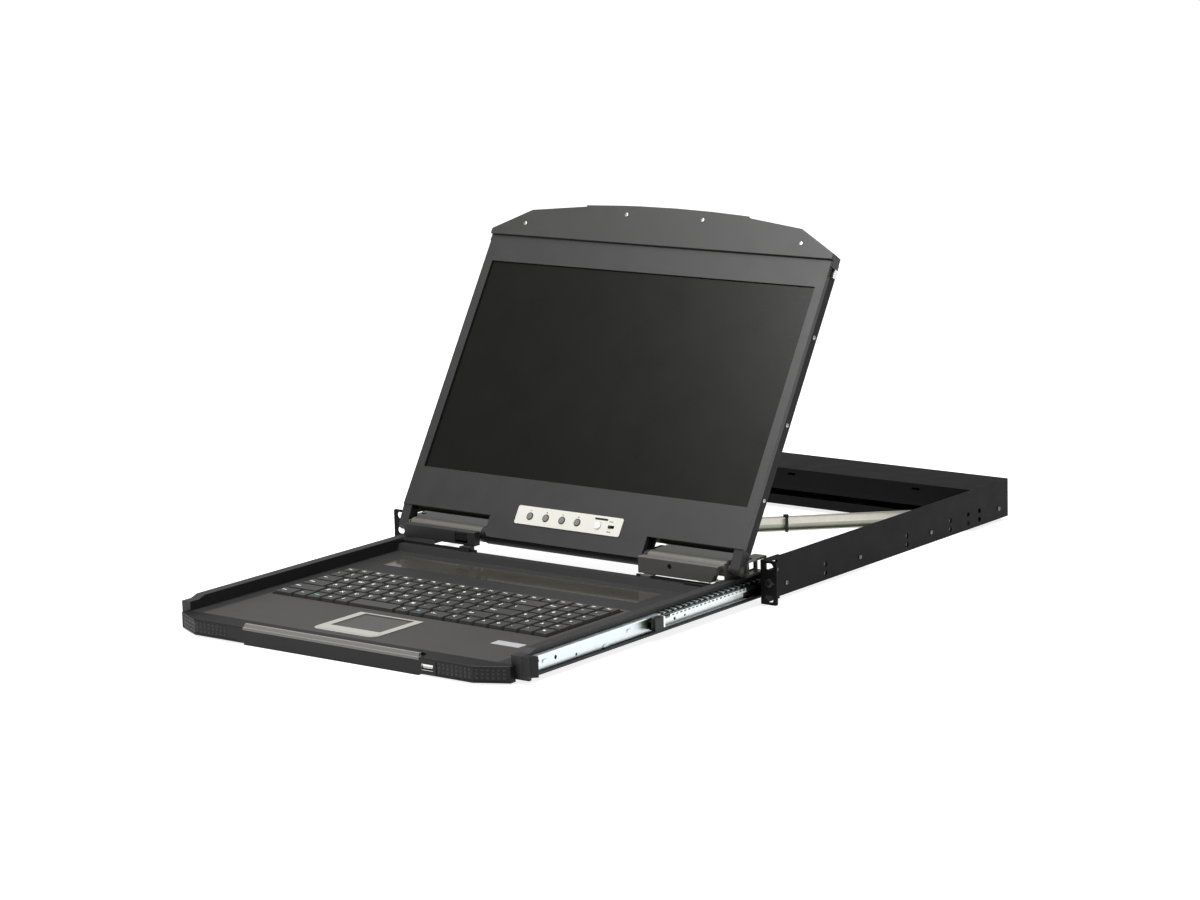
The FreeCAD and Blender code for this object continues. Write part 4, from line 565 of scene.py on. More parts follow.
# %% Skin
class Skin:
    """Points, quads and end faces of a closed surface."""

    def __init__(self, points, quads, ends=()):
        self.points, self.quads, self.ends = np.asarray(points, float), quads, list(ends)

    def __add__(self, other):
        step = len(self.points)
        return Skin(np.vstack([self.points, other.points]), np.vstack([self.quads, other.quads + step]),
                    self.ends + [end + step for end in other.ends])

    def put(self, origin, axes=((1, 0, 0), (0, 1, 0), (0, 0, 1))):
        """The skin in another frame: origin + x * first axis + y * second axis + z * third axis."""
        return Skin(self.points @ np.asarray(axes, float) + np.asarray(origin, float), self.quads, self.ends)


def stacked(levels):
    """Skin over a list of (outline, height): quads between neighbouring rings, one face on each end."""
    rings = np.stack([np.column_stack([outline, np.full(len(outline), height)])
                      for outline, height in levels])
    count, around = rings.shape[:2]
    number = np.arange(count * around).reshape(count, around)
    beside = np.roll(number, -1, axis=1)
    quads = np.stack([number[:-1], beside[:-1], beside[1:], number[1:]], axis=-1).reshape(-1, 4)
    return Skin(rings.reshape(-1, 3), quads, [number[0, ::-1], number[-1]])


def plate(outline, rise):
    """Flat plate: an outline at height 0 and the same outline at the height rise."""
    return stacked([(outline, 0), (outline, rise)])


print("a square plate has", len(plate(np.array([[0, 0], [1, 0], [1, 1], [0, 1]]), 1.0).points), "points")

# %% [markdown]
# ## Outlines
#
# Small hardware needs few outlines: a circle, a rectangle with round corners, and the plus sign of a
# screwdriver's tip. Each is a formula over one angle that runs once round, so two of them with as many
# steps can be joined ring to ring, as a screw's head does where its rim turns into its recess.

# %% Outlines
def circle(radius, steps=20):
    """Outline: radius times (cos t, sin t) for t once round."""
    turn = (np.arange(steps) + 0.5) * 2 * np.pi / steps
    return radius * np.column_stack([np.cos(turn), np.sin(turn)])


def rounded(width, depth, corner, steps=16):
    """Outline of a rectangle with round corners: the nearest corner's centre plus its arc."""
    arc = circle(1.0, steps)
    return np.sign(arc) * np.array([width / 2 - corner, depth / 2 - corner]) + corner * arc


def cross(arm, half, steps=20):
    """Outline of a plus sign in polar form: the arm's end ahead, its side beyond that angle."""
    turn = (np.arange(steps) + 0.5) * 2 * np.pi / steps
    fold = np.abs((turn + np.pi / 4) % (np.pi / 2) - np.pi / 4)
    reach = np.where(np.tan(fold) < half / arm, arm / np.cos(fold), half / np.maximum(np.sin(fold), 1e-6))
    return reach[:, None] * np.column_stack([np.cos(turn), np.sin(turn)])


print("a disc has", len(plate(circle(1.0), 1.0).quads), "side faces")

# %% [markdown]
# ## From skin to piece
#
# A piece is a mesh object that rides on one of the drawer's bodies. Its place is in its mesh and its
# normals are made to point outwards, whatever frame it was stood in. Edges sharper than 30 degrees stay
# sharp.

# %% Piece
SHARP = math.radians(30)


def mesh_of(name, skins, material):
    """One mesh from several skins, with flat faces."""
    whole = reduce(lambda first, second: first + second, skins)
    mesh = bpy.data.meshes.new(name)
    mesh.from_pydata(whole.points.tolist(), [], whole.quads.tolist() + [end.tolist() for end in whole.ends])
    mesh.materials.append(material)
    return mesh


def riding(name, mesh, body, instead=()):
    """The object of a mesh, riding on a body, perhaps in place of some nodes."""
    item = bpy.data.objects.new(name, mesh)
    bpy.context.scene.collection.objects.link(item)
    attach(item, body)
    if instead:
        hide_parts(*instead)
    return item


def piece(name, skins, body, material, instead=(), smooth=True):
    """One object from several closed skins: its normals point outwards and its soft edges are smooth."""
    mesh = mesh_of(name, skins, material)
    work = bmesh.new()
    work.from_mesh(mesh)
    bmesh.ops.recalc_face_normals(work, faces=work.faces)
    work.to_mesh(mesh)
    work.free()
    mesh.polygons.foreach_set("use_smooth", np.full(len(mesh.polygons), smooth))
    if smooth:
        mesh.set_sharp_from_angle(angle=SHARP)
    return riding(name, mesh, body, instead)


print("pieces keep edges over", round(math.degrees(SHARP)), "degrees sharp")

# %% [markdown]
# ## Reading the solids
#
# A node can hold several solids, such as a row of keys. Every point starts with its own number, and each
# triangle hands its lowest number to its corners until nothing changes; points that end with one number are
# one solid. Blender can split a mesh into loose parts too, but that would change the solid, which stays as
# it is.

# %% Solids in a node
def cloud_of(node):
    """All points of a node as rows of x, y, z."""
    places = np.empty(len(nodes[node].data.vertices) * 3, np.float32)
    nodes[node].data.vertices.foreach_get("co", places)
    return places.reshape(-1, 3)


def islands(node):
    """Low and high corner of each separate solid in a node, in metres, from left to right."""
    mesh = nodes[node].data
    mesh.calc_loop_triangles()
    corners = np.empty(len(mesh.loop_triangles) * 3, np.int32)
    mesh.loop_triangles.foreach_get("vertices", corners)
    spots, same = np.unique(cloud_of(node).round(6), axis=0, return_inverse=True)
    corners = same.ravel()[corners].reshape(-1, 3)
    label = np.arange(len(spots))
    while True:
        fresh = label.copy()
        np.minimum.at(fresh, corners, label[corners].min(axis=1)[:, None])
        fresh = fresh[fresh]
        if (fresh == label).all():
            break
        label = fresh
    groups = [spots[label == number] for number in np.unique(label)]
    return sorted([(group.min(axis=0), group.max(axis=0)) for group in groups], key=lambda box: tuple(box[0]))


def middle_of(box):
    """Half of the way from the low corner to the high one."""
    return (np.asarray(box[0]) + np.asarray(box[1])) / 2


print("function row:", len(islands("key_row_function")), "keys")

# %% [markdown]
# ## Eased edges
#
# Moulded and painted parts have slightly rounded edges, which catch the light as thin bright lines. The
# shader has a Bevel node too, but that only tilts normals and leaves the mesh as it was. Here a copy of the
# solid is merged, its flat faces are joined again, and a narrow bevel runs along every sharp edge of the
# copy.

# %% Eased copies
def eased(node, body, width):
    """A bevelled copy of a solid that takes its place; the solid's own mesh stays as it is."""
    mesh = nodes[node].data.copy()
    mesh.name = f"eased_{node}"
    work = bmesh.new()
    work.from_mesh(mesh)
    bmesh.ops.remove_doubles(work, verts=work.verts, dist=0.005 * MM)
    bmesh.ops.dissolve_limit(work, angle_limit=math.radians(1), verts=work.verts, edges=work.edges)
    work.to_mesh(mesh)
    work.free()
    mesh.polygons.foreach_set("use_smooth", np.zeros(len(mesh.polygons), bool))
    mesh.materials.clear()
    mesh.materials.append(nodes[node].material_slots[0].material)
    item = riding(mesh.name, mesh, body, (node,))
    bevel = item.modifiers.new("edges", "BEVEL")
    bevel.width, bevel.segments, bevel.limit_method = width, 2, "ANGLE"
    bevel.angle_limit = math.radians(40)
    return item


# the eased nodes of each body, with the width of their edges in millimetres
EASED = {"display": (("display_bezel", 0.5), ("display_handle", 0.5)),
         "drawer": (("front_moulding", 0.45), ("hinge_cover_right", 0.4), ("hinge_cover_left", 0.4))}
for body, parts in EASED.items():
    for node, width in parts:
        made = eased(node, body, width * MM)
        print("eased", node, len(made.data.polygons), "faces")

# %% [markdown]
# ## A keycap's top
#
# A laptop-like cap has sloping sides, a soft shoulder and a shallow dish that runs from front to rear, so
# that a finger finds its middle. The dish lowers the top by an amount that grows towards the middle line,
# `sag * (1 - (2x / width)^2)`, and the legends follow the same formula. The cap's outline has its points
# where strips from front to rear can close the top, so that the dish has edges to bend along.

# %% Outline and dish of a cap
CAP_HIGH, CAP_SAG, TOP_INSET = 4.4 * MM, 0.30 * MM, 2.4 * MM
# inset, height and corner radius of each ring
CAP_LEVELS = np.array([(0, 0, 0.9), (0.15, 0.9, 1.0), (0.85, 3.6, 1.1),
                       (1.05, 4.15, 1.2), (1.5, 4.4, 1.4), (2.4, 4.4, 1.4)]) * MM


def dish(x, width):
    """How far the cap's top lies below its rim, at a distance x from the middle line."""
    return CAP_SAG * np.clip(1 - (2 * x / width) ** 2, 0, 1)


def cap_outline(wide, deep, corner, across=9):
    """Outline whose front and rear edges pass through the same places across: sin(u) * width / 2 for even
    steps of u, with the depth drawn in by a quarter circle within the corner radius of either side."""
    x = np.sin(np.linspace(-1, 1, across) * np.pi / 2) * wide / 2
    into = np.clip(np.abs(x) - (wide / 2 - corner), 0, corner)
    y = deep / 2 - corner + np.sqrt(corner ** 2 - into ** 2)
    return np.vstack([np.column_stack([x, -y]), np.column_stack([x, y])[::-1]])


print("a cap's top sinks by", round(dish(0, 1), 5), "in the middle and by", dish(0.5, 1), "at its sides")

# %% [markdown]
# ## Keycaps
#
# A bevelled box has straight sides and no dish, so each cap is a stack of rings instead. The solids say
# where the keys are: each separate solid of a row gives one cap's width, depth and place, and the caps of
# a row are one piece that stands in for the row's node and moves with it.

# %% Keycaps
def keycap(box):
    """Rounded rectangles from foot to top, each given by its inset, height and corner radius. The top ring
    and the one below it sink by the dish, and strips from front to rear close the top."""
    wide, deep = (box[1] - box[0])[:2]
    levels = [(cap_outline(wide - 2 * inset, deep - 1.5 * inset, corner), height)
              for inset, height, corner in CAP_LEVELS]
    skin = stacked(levels)
    face = skin.points[:, 2] > CAP_HIGH - 0.1 * MM
    skin.points[face, 2] -= dish(skin.points[face, 0], wide - 2 * TOP_INSET)
    top, across = skin.ends.pop(), len(levels[-1][0]) // 2
    front, rear = top[:across], top[across:][::-1]
    strips = np.column_stack([front[:-1], front[1:], rear[1:], rear[:-1]])
    foot = (*middle_of(box)[:2], box[1][2] - CAP_HIGH)
    return Skin(skin.points, np.vstack([skin.quads, strips]), skin.ends).put(foot)


key_boxes = {row: islands(row) for row in KEY_ROWS}
for row, boxes in key_boxes.items():
    piece(f"caps_{row}", [keycap(box) for box in boxes], row, key_plastic, (row,))
print("keys:", {row: len(boxes) for row, boxes in key_boxes.items()})

# %% [markdown]
# ## Words of the keys
#
# The words are the plain ones of every keyboard, row by row and from left to right, as the solids are
# sorted. The space bar has none. Single letters are the largest, and the two kinds of mode keys are teal.

# %% Words of the keys
LEGENDS = {
    "key_row_function": "Esc F1 F2 F3 F4 F5 F6 F7 F8 F9 F10 F11 F12 Prt Pau Ins Hom Up Del".split(),
    "key_row_numbers": "` 1 2 3 4 5 6 7 8 9 0 - = Back Num / * -".split(),
    "key_row_upper": "Tab Q W E R T Y U I O P [ ] \\ 7 8 9 +".split(),
    "key_row_home": "Caps A S D F G H J K L ; ' Enter 4 5 6 +".split(),
    "key_row_lower": "Shift Z X C V B N M , . / Shift ^ 1 2 3 =".split(),
    "key_row_bottom": "Ctrl Fn Win Alt | Alt Fn Ctrl < v > 0 . : %".split(),
}
TEAL_WORDS = ("Fn", "Win")
# heights of words with one and two letters, and of all longer ones
LETTER_HIGH = {1: 5.6 * MM, 2: 4.2 * MM}
WORD_HIGH = 3.4 * MM
print("words:", sum(len(words) for words in LEGENDS.values()))

# %% [markdown]
# ## Legends
#
# Legends are printed, so they need no thickness, only a crisp outline. An image would turn soft from close
# by. Blender's own font makes the outlines; the flat mesh is read back as arrays, a few millimetres high,
# and laid on the dish, a hair above it.

# %% Legends
# how far a word starts from the cap's left side and below its middle, and its height over the cap
LEGEND_IN, LEGEND_LOW, LEGEND_LIFT = 3.2 * MM, 0.4 * MM, 0.04 * MM
inked = 0


def lettering(words, height):
    """Flat outlines of a word as a skin, its left lower corner at the origin."""
    curve = bpy.data.curves.new("words", "FONT")
    curve.body, curve.size, curve.resolution_u, curve.offset = words, height, 2, height * 0.03
    holder = bpy.data.objects.new("words", curve)
    mesh = bpy.data.meshes.new_from_object(holder)
    spots = np.empty(len(mesh.vertices) * 3, np.float32)
    mesh.vertices.foreach_get("co", spots)
    ends = [np.array(face.vertices[:]) for face in mesh.polygons]
    bpy.data.objects.remove(holder)
    bpy.data.curves.remove(curve)
    bpy.data.meshes.remove(mesh)
    return Skin(spots.reshape(-1, 3), np.empty((0, 4), int), ends)


def legend(words, box):
    """A word on the left upper part of a cap, bent to its dish."""
    low, high = box
    start = (low[0] + LEGEND_IN, (low[1] + high[1]) / 2 - LEGEND_LOW, high[2] + LEGEND_LIFT)
    skin = lettering(words, LETTER_HIGH.get(len(words), WORD_HIGH)).put(start)
    skin.points[:, 2] -= dish(skin.points[:, 0] - (low[0] + high[0]) / 2, high[0] - low[0] - 2 * TOP_INSET)
    return skin


for row, words in LEGENDS.items():
    for name, ink, teal in (("legends", legend_ink, False), ("teal_legends", teal_ink, True)):
        chosen = [legend(word, box) for word, box in zip(words, key_boxes[row])
                  if (word in TEAL_WORDS) == teal]
        if chosen:
            riding(f"{name}_{row}", mesh_of(f"{name}_{row}", chosen, ink), row)
            inked += len(chosen)
print("legends:", inked)

# %% [markdown]
# ## The display's own frame
#
# The display leans back, so its pieces are easier to place in its own frame: across, up the screen, and out
# of its face. The lean comes from the hinge's range, because shut is 90 degrees past upright. A dot product
# with one of the three directions measures a point along it.

# %% Display frame
hinge = next(joint for joint in frame["joints"] if joint["name"] == "display_hinge")
hinge_axis = np.array(hinge["pos_m"])[1:]
lean = math.radians(hinge["range_deg"][1] - 90)
ACROSS = np.array([1.0, 0.0, 0.0])
UPWARD = np.array([0.0, math.sin(lean), math.cos(lean)])
OUTWARD = np.array([0.0, -math.cos(lean), math.sin(lean)])
DISPLAY_AXES = (ACROSS, UPWARD, OUTWARD)
print("lean", round(math.degrees(lean), 2), "degrees, axis at y, z =", hinge_axis.round(4))

# %% [markdown]
# ## Screw heads
#
# A small cross-head screw is a low dome with a plus-shaped pit. A boolean could cut the pit, but it would
# leave ragged faces round it. Here the rings of a stack run up the rim, over the dome, and then change from
# circles to plus signs, which go down into the pit. A head is stood in the frame of the wall that holds
# it, so the same stack serves every side.

# %% Screw heads
# radius and height of each kind of head
SIDE_HEAD, HANDLE_HEAD = np.array([(2.1, 0.7), (2.3, 0.6)]) * MM
CHASSIS_HEAD, CAPTIVE_HEAD = np.array([(2.2, 1.1), (4.4, 1.6)]) * MM


def screw(radius, high):
    """Domed head with a cross recess; its foot is on the plane z = 0."""
    return stacked([(circle(radius), 0), (circle(radius), high * 0.45), (circle(radius * 0.93), high * 0.8),
                    (circle(radius * 0.78), high), (cross(radius * 0.6, radius * 0.17), high),
                    (cross(radius * 0.52, radius * 0.13), high * 0.25)])


def side_screw(box, head, axes_of):
    """A head on a side wall: its foot is on the side of the old disc that looks to the middle."""
    spot = middle_of(box)
    sign = np.sign(spot[0])
    return screw(*head).put((box[0][0] if sign > 0 else box[1][0], *spot[1:]), axes_of(sign))


def on_chassis_side(sign):
    """Frame of a side wall that faces right or left: rearwards, up, outwards."""
    return ((0, 1, 0), (0, 0, 1), (sign, 0, 0))


def on_display_side(sign):
    """Frame of a side of the display: up the screen, into its face, outwards."""
    return (UPWARD * sign, -OUTWARD, (sign, 0, 0))


print("a screw head has", len(screw(*SIDE_HEAD).quads), "side faces")

# %% [markdown]
# ## Screws in their places
#
# The heads stand in for the plain discs of the solids, and each disc says where its head goes. The one
# long screw in the ear is captive: it has a wide head and a smooth shank, which is a second stack because
# it needs no pit.

# %% Screws
# screws further out than this are on the display's sides; only the captive screw is this long
DISPLAY_SIDE, CAPTIVE_LONG = 200 * MM, 6.5 * MM
# radii of the shank and of its tip, its length, the length of the tip's slope, and where it starts, just
# inside the head
SHANK, SHANK_TIP, SHANK_LONG, TIP_SLOPE, SHANK_IN = 3.2 * MM, 2.5 * MM, 8 * MM, 0.5 * MM, -0.2 * MM


def captive_screw(box):
    """A wide head on the ear's front and a round shank behind it."""
    x, _, z = middle_of(box)
    shank = stacked([(circle(SHANK), 0), (circle(SHANK), SHANK_LONG - TIP_SLOPE),
                     (circle(SHANK_TIP), SHANK_LONG)])
    return [screw(*CAPTIVE_HEAD).put((x, 0, z), ((1, 0, 0), (0, 0, 1), (0, -1, 0))),
            shank.put((x, SHANK_IN, z), ((1, 0, 0), (0, 0, -1), (0, 1, 0)))]


display_heads, chassis_heads, captive = [], [], []
for box in islands("display_screws"):
    if abs(middle_of(box)[0]) > DISPLAY_SIDE:
        display_heads.append(side_screw(box, SIDE_HEAD, on_display_side))
    else:
        foot = middle_of(box) - OUTWARD * HANDLE_HEAD[1] / 2
        display_heads.append(screw(*HANDLE_HEAD).put(foot, DISPLAY_AXES))
for box in islands("chassis_screws"):
    if box[1][1] - box[0][1] > CAPTIVE_LONG:
        captive += captive_screw(box)
    else:
        chassis_heads.append(side_screw(box, CHASSIS_HEAD, on_chassis_side))
piece("display_screw_heads", display_heads, "display", screw_steel, ("display_screws",))
piece("chassis_screw_heads", chassis_heads, "chassis", dull_steel, ("chassis_screws",))
piece("captive_screw", captive, "chassis", dark_plastic)
print("screw heads:", len(display_heads), "on the display,", len(chassis_heads), "on the chassis")

# %% [markdown]
# ## Textured corners
#
# The two front corners carry rows of small raised squares in a shallow sunk field, so that a thumb finds
# them. A bump would look flat against the light, so each square is a low pyramid without its tip. The field
# runs along the front and round the chamfer: a position along it and a height give the point, and the
# chamfer simply turns the frame. The left corner mirrors the right.

# %% Textured corners
FIELD_TOP, FIELD_SUNK = -9.0 * MM, 0.6 * MM
FIELD_START, FIELD_END = 129 * MM, 169.5 * MM
# where the front turns into the chamfer, and where the chamfer ends
BEND = np.array([170.5 * MM, FRONT[0][1], FIELD_TOP])
TIP = np.array([199.9 * MM, -361.15 * MM, FIELD_TOP])
STUD_HALF, STUD_RISE, STUD_TAPER = 1.45 * MM, 0.55 * MM, 0.62
STUD_PITCH, ROW_PITCH, STUD_ROWS = 4.6 * MM, 3.75 * MM, 3


def stud():
    """Low pyramid without its tip, standing on the plane z = 0."""
    square = np.array([[-1, -1], [1, -1], [1, 1], [-1, 1]]) * STUD_HALF
    return stacked([(square, 0), (square * STUD_TAPER, STUD_RISE)])


def studded(start, end, facing):
    """Rows of studs between two upper corners of a field, which faces the given way."""
    long = np.linalg.norm(end - start)
    along, count = (end - start) / long, int(long / STUD_PITCH)
    rows = [np.array([0, 0, ROW_PITCH * (row + 0.55)]) for row in range(STUD_ROWS)]
    return [stud().put(start + along * long / count * (column + 0.5) - drop, (along, (0, 0, 1), facing))
            for column in range(count) for drop in rows]


slope = np.array([TIP[1] - BEND[1], BEND[0] - TIP[0], 0]) / np.linalg.norm((TIP - BEND)[:2])
sunk_front = FRONT[0][1] + FIELD_SUNK
margin = (TIP - BEND) * 0.04
studs = studded(np.array([FIELD_START, sunk_front, FIELD_TOP]), np.array([FIELD_END, sunk_front, FIELD_TOP]),
                (0, -1, 0))
studs += studded(BEND - slope * FIELD_SUNK + margin, TIP - slope * FIELD_SUNK - margin, slope)
mirrored = [Skin(skin.points * (-1, 1, 1), skin.quads, skin.ends) for skin in studs]
piece("corner_studs", studs + mirrored, "drawer", stud_plastic, smooth=False)
print("studs:", len(studs + mirrored))

# %% [markdown]
# ## The foil label
#
# A small foil sticker lies on the deck, right of the touchpad. A mask in the deck's own finish could show
# it too, but its round corners would be long to write, so it is a plate a tenth of a millimetre thick. It
# stays blank.

# %% Foil label
LABEL_PLACE = np.array([148, -296, -7.5]) * MM
label = plate(rounded(33 * MM, 13 * MM, 1 * MM), 0.1 * MM)
piece("foil_label", [label.put(LABEL_PLACE)], "drawer", label_foil)
print("label at", LABEL_PLACE)

# %% [markdown]
# ## Rings and bars
#
# The marks round the buttons are of two shapes, a ring and a bar. A torus from Blender's menu is round in
# its section, but these are flat, so a tube is made between any two outlines: out along the foot, up the
# outer wall, back along the top and down the inner wall.

# %% Rings and bars
MARK_RISE = 0.12 * MM


def tube(inner, outer, rise):
    """Closed ring between two outlines with as many points: both walls and both flat ends are quads."""
    flat = stacked([(inner, 0), (outer, 0), (outer, rise), (inner, rise)])
    number = np.arange(len(inner))
    beside, last = np.roll(number, -1), 3 * len(inner)
    inside = np.column_stack([last + number, last + beside, beside, number])
    return Skin(flat.points, np.vstack([flat.quads, inside]))


def bar(wide, high):
    """Thin plate with round corners, a fifth of its smaller side each."""
    return plate(rounded(wide * MM, high * MM, 0.2 * min(wide, high) * MM), MARK_RISE)


print("a ring has", len(tube(circle(1.0), circle(2.0), 1.0).quads), "faces")

# %% [markdown]
# ## Button panel
#
# Each menu button sits in a dark ring, a dark label bar runs beside them over the power button, and small
# marks stand over the buttons. The marks are plain dashes and plus signs. An image could carry them all,
# but it would need an unwrapped plate, so they are thin flat skins on it, placed in the display's frame.

# %% Button panel
RING_WIDE, MARK_ABOVE = 0.9 * MM, 2.6 * MM
# from the switch's middle to its two marks, and from the power button's middle to the label bar
SWITCH_MARK, LABEL_ACROSS, LABEL_ABOVE = 5.4 * MM, 2.5 * MM, 6.9 * MM


def centre_on_display(node):
    """Middle of a node across and up the display."""
    points = cloud_of(node)
    return tuple((points @ axis).min() / 2 + (points @ axis).max() / 2 for axis in (ACROSS, UPWARD))


buttons = [centre_on_display(f"menu_button_{i}") for i in range(1, 5)]
button_radius = (cloud_of("menu_button_1") @ UPWARD).max() - buttons[0][1]
switch_across, switch_up = centre_on_display("mode_switch")
power_across, power_up = centre_on_display("power_button")
ring = tube(circle(button_radius, 24), circle(button_radius + RING_WIDE, 24), MARK_RISE)
over = button_radius + MARK_ABOVE
marks = [(ring, x, height) for x, height in buttons]
marks += [(bar(1.8, 0.5), x, height + over) for x, height in buttons]
marks += [(bar(0.5, 1.4), x, height + over) for x, height in buttons[1::2]]
marks += [(bar(4.5, 0.7), switch_across, switch_up + offset) for offset in (SWITCH_MARK, -SWITCH_MARK)]
marks.append((bar(16, 2.0), power_across + LABEL_ACROSS, power_up + LABEL_ABOVE))
face = (cloud_of("control_plate") @ OUTWARD).max()
piece("panel_marks", [skin.put((x, height, face) @ np.array(DISPLAY_AXES), DISPLAY_AXES)
                      for skin, x, height in marks], "display", dark_plastic, smooth=False)
print("button radius", round(button_radius, 4), "panel marks:", len(marks))

# %% [markdown]
# ## Collars of the barrels
#
# A thin collar closes the gap between each barrel and the display's tongue. A round disc would stand out
# past the barrel's flat sides, so it has the outline of the barrel's end, which is convex: in a direction
# d, the outline is the nearest of the lines through its edges, the smallest h / (n . d) over the edges with
# outward normal n at distance h from the axis. Between the two collars, the tongue's lower edge is a round
# roll about the hinge's axis, so that it looks the same however far it is turned.

# %% Collars and roll
# points of a bracket within this reach of the axis belong to its shaft, not to its barrel
SHAFT_REACH = 6 * MM
COLLAR_LONG, COLLAR_BORE = 5.2 * MM, 3.1 * MM
ROLL_RADIUS, ROLL_HALF = 8.9 * MM, 98.5 * MM
EDGE_ON = 0.02


def end_outline(points, centre, steps=48):
    """Outline of a flat convex end around a centre, as (y, z) offsets at even angles. An edge that is seen
    nearly edge-on from the centre is never the nearest one, so it's set a metre away."""
    normal, turn = circle(1.0, 90), circle(1.0, steps)
    reach = ((points[:, 1:] - centre) @ normal.T).max(axis=0)
    facing = turn @ normal.T
    return turn * np.where(facing > EDGE_ON, reach / np.maximum(facing, EDGE_ON), 1.0).min(axis=1)[:, None]


collars = []
for sign, node in ((1, "hinge_bracket_right"), (-1, "hinge_bracket_left")):
    points = cloud_of(node)
    barrel = points[np.linalg.norm(points[:, 1:] - hinge_axis, axis=1) > SHAFT_REACH]
    inner_end = np.abs(barrel[:, 0]).min()
    outline = end_outline(barrel[np.abs(barrel[:, 0]) < inner_end + 0.05 * MM], hinge_axis)
    collars.append(tube(circle(COLLAR_BORE, 48), outline, COLLAR_LONG)
                   .put((sign * (inner_end - COLLAR_LONG), *hinge_axis), on_chassis_side(sign)))
piece("barrel_collars", collars, "drawer", key_bed)
roll = plate(circle(ROLL_RADIUS, 40), 2 * ROLL_HALF)
piece("tongue_roll", [roll.put((-ROLL_HALF, *hinge_axis), on_chassis_side(1))], "display", back_paint)
print("the barrels end", round(inner_end, 4), "from the middle, and the roll reaches", ROLL_HALF)

# %% [markdown]
# ## Socket tongue and jack
#
# The USB socket has a white tongue in the middle of its mouth. The jack in the right hinge cover is a black
# sleeve whose bore ends on a plug, just behind the cover's face. Neither needs a boolean: each is a few
# faces of its own, placed from the solids.

# %% Socket tongue and jack
TONGUE_HALF, TONGUE_THIN, TONGUE_START, TONGUE_END = 5.4 * MM, 0.8 * MM, 0.6 * MM, 4 * MM
# the jack's place across and up, and how far the cover's face stands ahead of the hinge's axis
JACK_ACROSS, JACK_UP, COVER_AHEAD = 139 * MM, 12 * MM, 16.75 * MM
JACK_BORE, JACK_RADIUS, JACK_LONG, JACK_SUNK = 1.3 * MM, 2.5 * MM, 1.6 * MM, 0.2 * MM


def slab(low, high):
    """Plain box between two corners."""
    low, high = np.array(low), np.array(high)
    corners = np.array([[low[0], low[1]], [high[0], low[1]], [high[0], high[1]], [low[0], high[1]]])
    return stacked([(corners, low[2]), (corners, high[2])])


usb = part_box("usb_socket")
usb_across, _, usb_up = middle_of(usb)
tongue = slab((usb_across - TONGUE_HALF, usb[0][1] + TONGUE_START, usb_up - TONGUE_THIN),
              (usb_across + TONGUE_HALF, usb[0][1] + TONGUE_END, usb_up + TONGUE_THIN))
piece("usb_tongue", [tongue], "drawer", white_plastic, smooth=False)

sleeve = tube(circle(JACK_BORE, 24), circle(JACK_RADIUS, 24), JACK_LONG)
plug = plate(circle(JACK_BORE, 24), 0.2 * MM)
jack_place = (JACK_ACROSS, hinge_axis[0] - COVER_AHEAD + JACK_SUNK + JACK_LONG, JACK_UP)
piece("jack_sleeve", [skin.put(jack_place, ((1, 0, 0), (0, 0, 1), (0, -1, 0))) for skin in (sleeve, plug)],
      "drawer", key_bed)
print("jack at", np.round(jack_place, 4))

# %% [markdown]
# ## Shade strip
#
# Two narrow dark slabs close the deck's notch round the cable arm: a low strip beside the arm, and a taller
# one from the arm to the notch's end. They are painted shade, a dark sheet where there is only the shade
# under the right hinge cover, so that the gap shows dark.

# %% Shade strip
SHADE_STRIP_THICK, SHADE_STRIP_HIGH, SHADE_STRIP_LOW = 1 * MM, 1.5 * MM, -9.4 * MM
ARM_SIDE, NOTCH_END = 164 * MM, 196.8 * MM

notch_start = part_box("hinge_cover_right")[0][0] + 2 * MM
deck_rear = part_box("palm_rest")[1][1]
shade_strip_front = deck_rear - SHADE_STRIP_THICK
# painted shade: dark slabs standing for the shade under the right hinge cover
shade_strips = [slab((notch_start, shade_strip_front, -SHADE_STRIP_HIGH), (ARM_SIDE, deck_rear, SHADE_STRIP_HIGH)),
         slab((ARM_SIDE, shade_strip_front, SHADE_STRIP_LOW), (NOTCH_END, deck_rear, SHADE_STRIP_HIGH))]
piece("deck_shade_strip", shade_strips, "drawer", key_bed, smooth=False)
print("the deck's rear edge is at", round(deck_rear, 4))

# %% [markdown]
# ## Floor
#
# A white sweep with no corner keeps the drawer's outline clear. The floor takes a soft shadow. What the
# camera sees of it is lifted to white, and polished metal sees the same white. The lift is light that only
# those rays meet, so it adds nothing to the drawer's own lighting. Stronger lamps would whiten the floor
# too, but they would wash out the black plastic.

# %% Floor
def stage_white(name, strength):
    """Matt white plus a glow, which only the camera, mirrors and clear things see."""
    finish = Finish(name, (0.5, 0.5, 0.5), 1.0)
    rays = [finish.node("ShaderNodeLightPath", {}, {}, f"Is {kind} Ray")
            for kind in ("Camera", "Glossy", "Transmission")]
    matt = finish.node("ShaderNodeBsdfDiffuse", {}, {"Color": (0.5, 0.5, 0.5, 1)})
    glow = finish.node("ShaderNodeEmission", {}, {"Strength": any_of(rays) * strength})
    whole = finish.node("ShaderNodeAddShader", {}, {0: matt, 1: glow})
    finish.tree.links.new(whole.socket, finish.tree.nodes["Material Output"].inputs["Surface"])
    finish.tree.nodes.remove(finish.shader)
    return finish.material


FLOOR_HALF, FLOOR_LEVEL = 40.0, cad_box[0][2] - 0.2 * MM
corners = FLOOR_HALF * np.array([(-1, -1), (1, -1), (1, 1), (-1, 1)])
floor_mesh = bpy.data.meshes.new("floor")
floor_mesh.from_pydata([(x, y, FLOOR_LEVEL) for x, y in corners.tolist()], [], [(0, 1, 2, 3)])
floor_mesh.materials.append(stage_white("floor_white", 0.84))
floor = bpy.data.objects.new("floor", floor_mesh)
bpy.context.scene.collection.objects.link(floor)
print("floor at", round(FLOOR_LEVEL, 4))

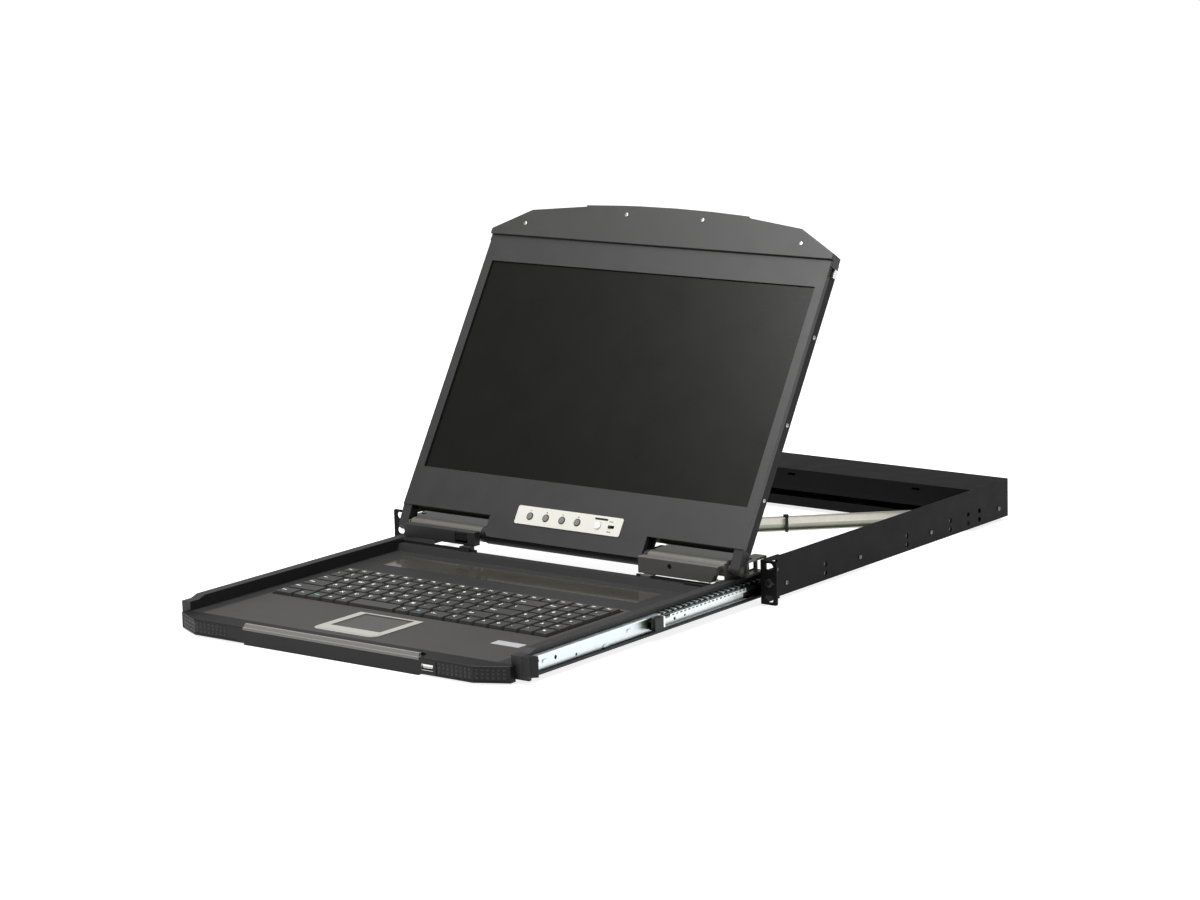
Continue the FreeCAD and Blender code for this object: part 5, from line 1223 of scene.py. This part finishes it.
# %% [markdown]
# ## World
#
# The world lights the drawer evenly from all sides at a third of full white, while the camera sees it at
# full white. An image of a real studio would light it less evenly. A Map Range node turns Is Camera Ray,
# which is 0 or 1, into the two strengths.

# %% World
world = bpy.data.worlds.new("studio")
bpy.context.scene.world = world
world.use_nodes = True
sky = world.node_tree
path = sky.nodes.new("ShaderNodeLightPath")
strength = sky.nodes.new("ShaderNodeMapRange")
sky.links.new(path.outputs["Is Camera Ray"], strength.inputs["Value"])
strength.inputs["To Min"].default_value = 0.34
strength.inputs["To Max"].default_value = 1.0
sky.links.new(strength.outputs[0], sky.nodes["Background"].inputs["Strength"])
sky.nodes["Background"].inputs["Color"].default_value = (1, 1, 1, 1)
print("the world's strength on things is", round(strength.inputs["To Min"].default_value, 2))

# %% [markdown]
# ## Light
#
# A wide lamp overhead and the even world light give each colour about the value that it was written with. A
# weak lamp high in front opens the front edges, and a small one is placed where the screen mirrors it as a
# soft glow. The view transform is Standard, which leaves the colours as they are.

# %% Light
# place, target, size in metres and power in watts of each lamp
LAMPS = {"overhead": ((-0.2, 0.1, 2.6), (0, 0, 0), 2.2, 92),
         "front_high": ((-0.6, -3.0, 2.6), (0, 0, 0.1), 1.4, 14),
         "screen_glow": ((-0.68, -1.08, 1.9), (0.2, 0.1, 0.3), 0.45, 16)}


def lamp(name, place, target, size, watts):
    """Square area lamp that faces a point: its own z axis points away from the target."""
    item = bpy.data.objects.new(name, bpy.data.lights.new(name, "AREA"))
    item.data.size, item.data.energy = size, watts
    away = np.array(place, float) - np.array(target, float)
    away /= np.linalg.norm(away)
    side = np.cross((0, 1, 0) if abs(away[2]) > 0.9 else (0, 0, 1), away)
    side /= np.linalg.norm(side)
    turn = np.eye(4)
    turn[:3, :4] = np.column_stack([side, np.cross(away, side), away, place])
    item.matrix_world = Matrix(turn.tolist())
    bpy.context.scene.collection.objects.link(item)


for name, (place, target, size, watts) in LAMPS.items():
    lamp(name, place, target, size, watts)
bpy.context.scene.view_settings.view_transform = "Standard"
print("lamps:", list(LAMPS))
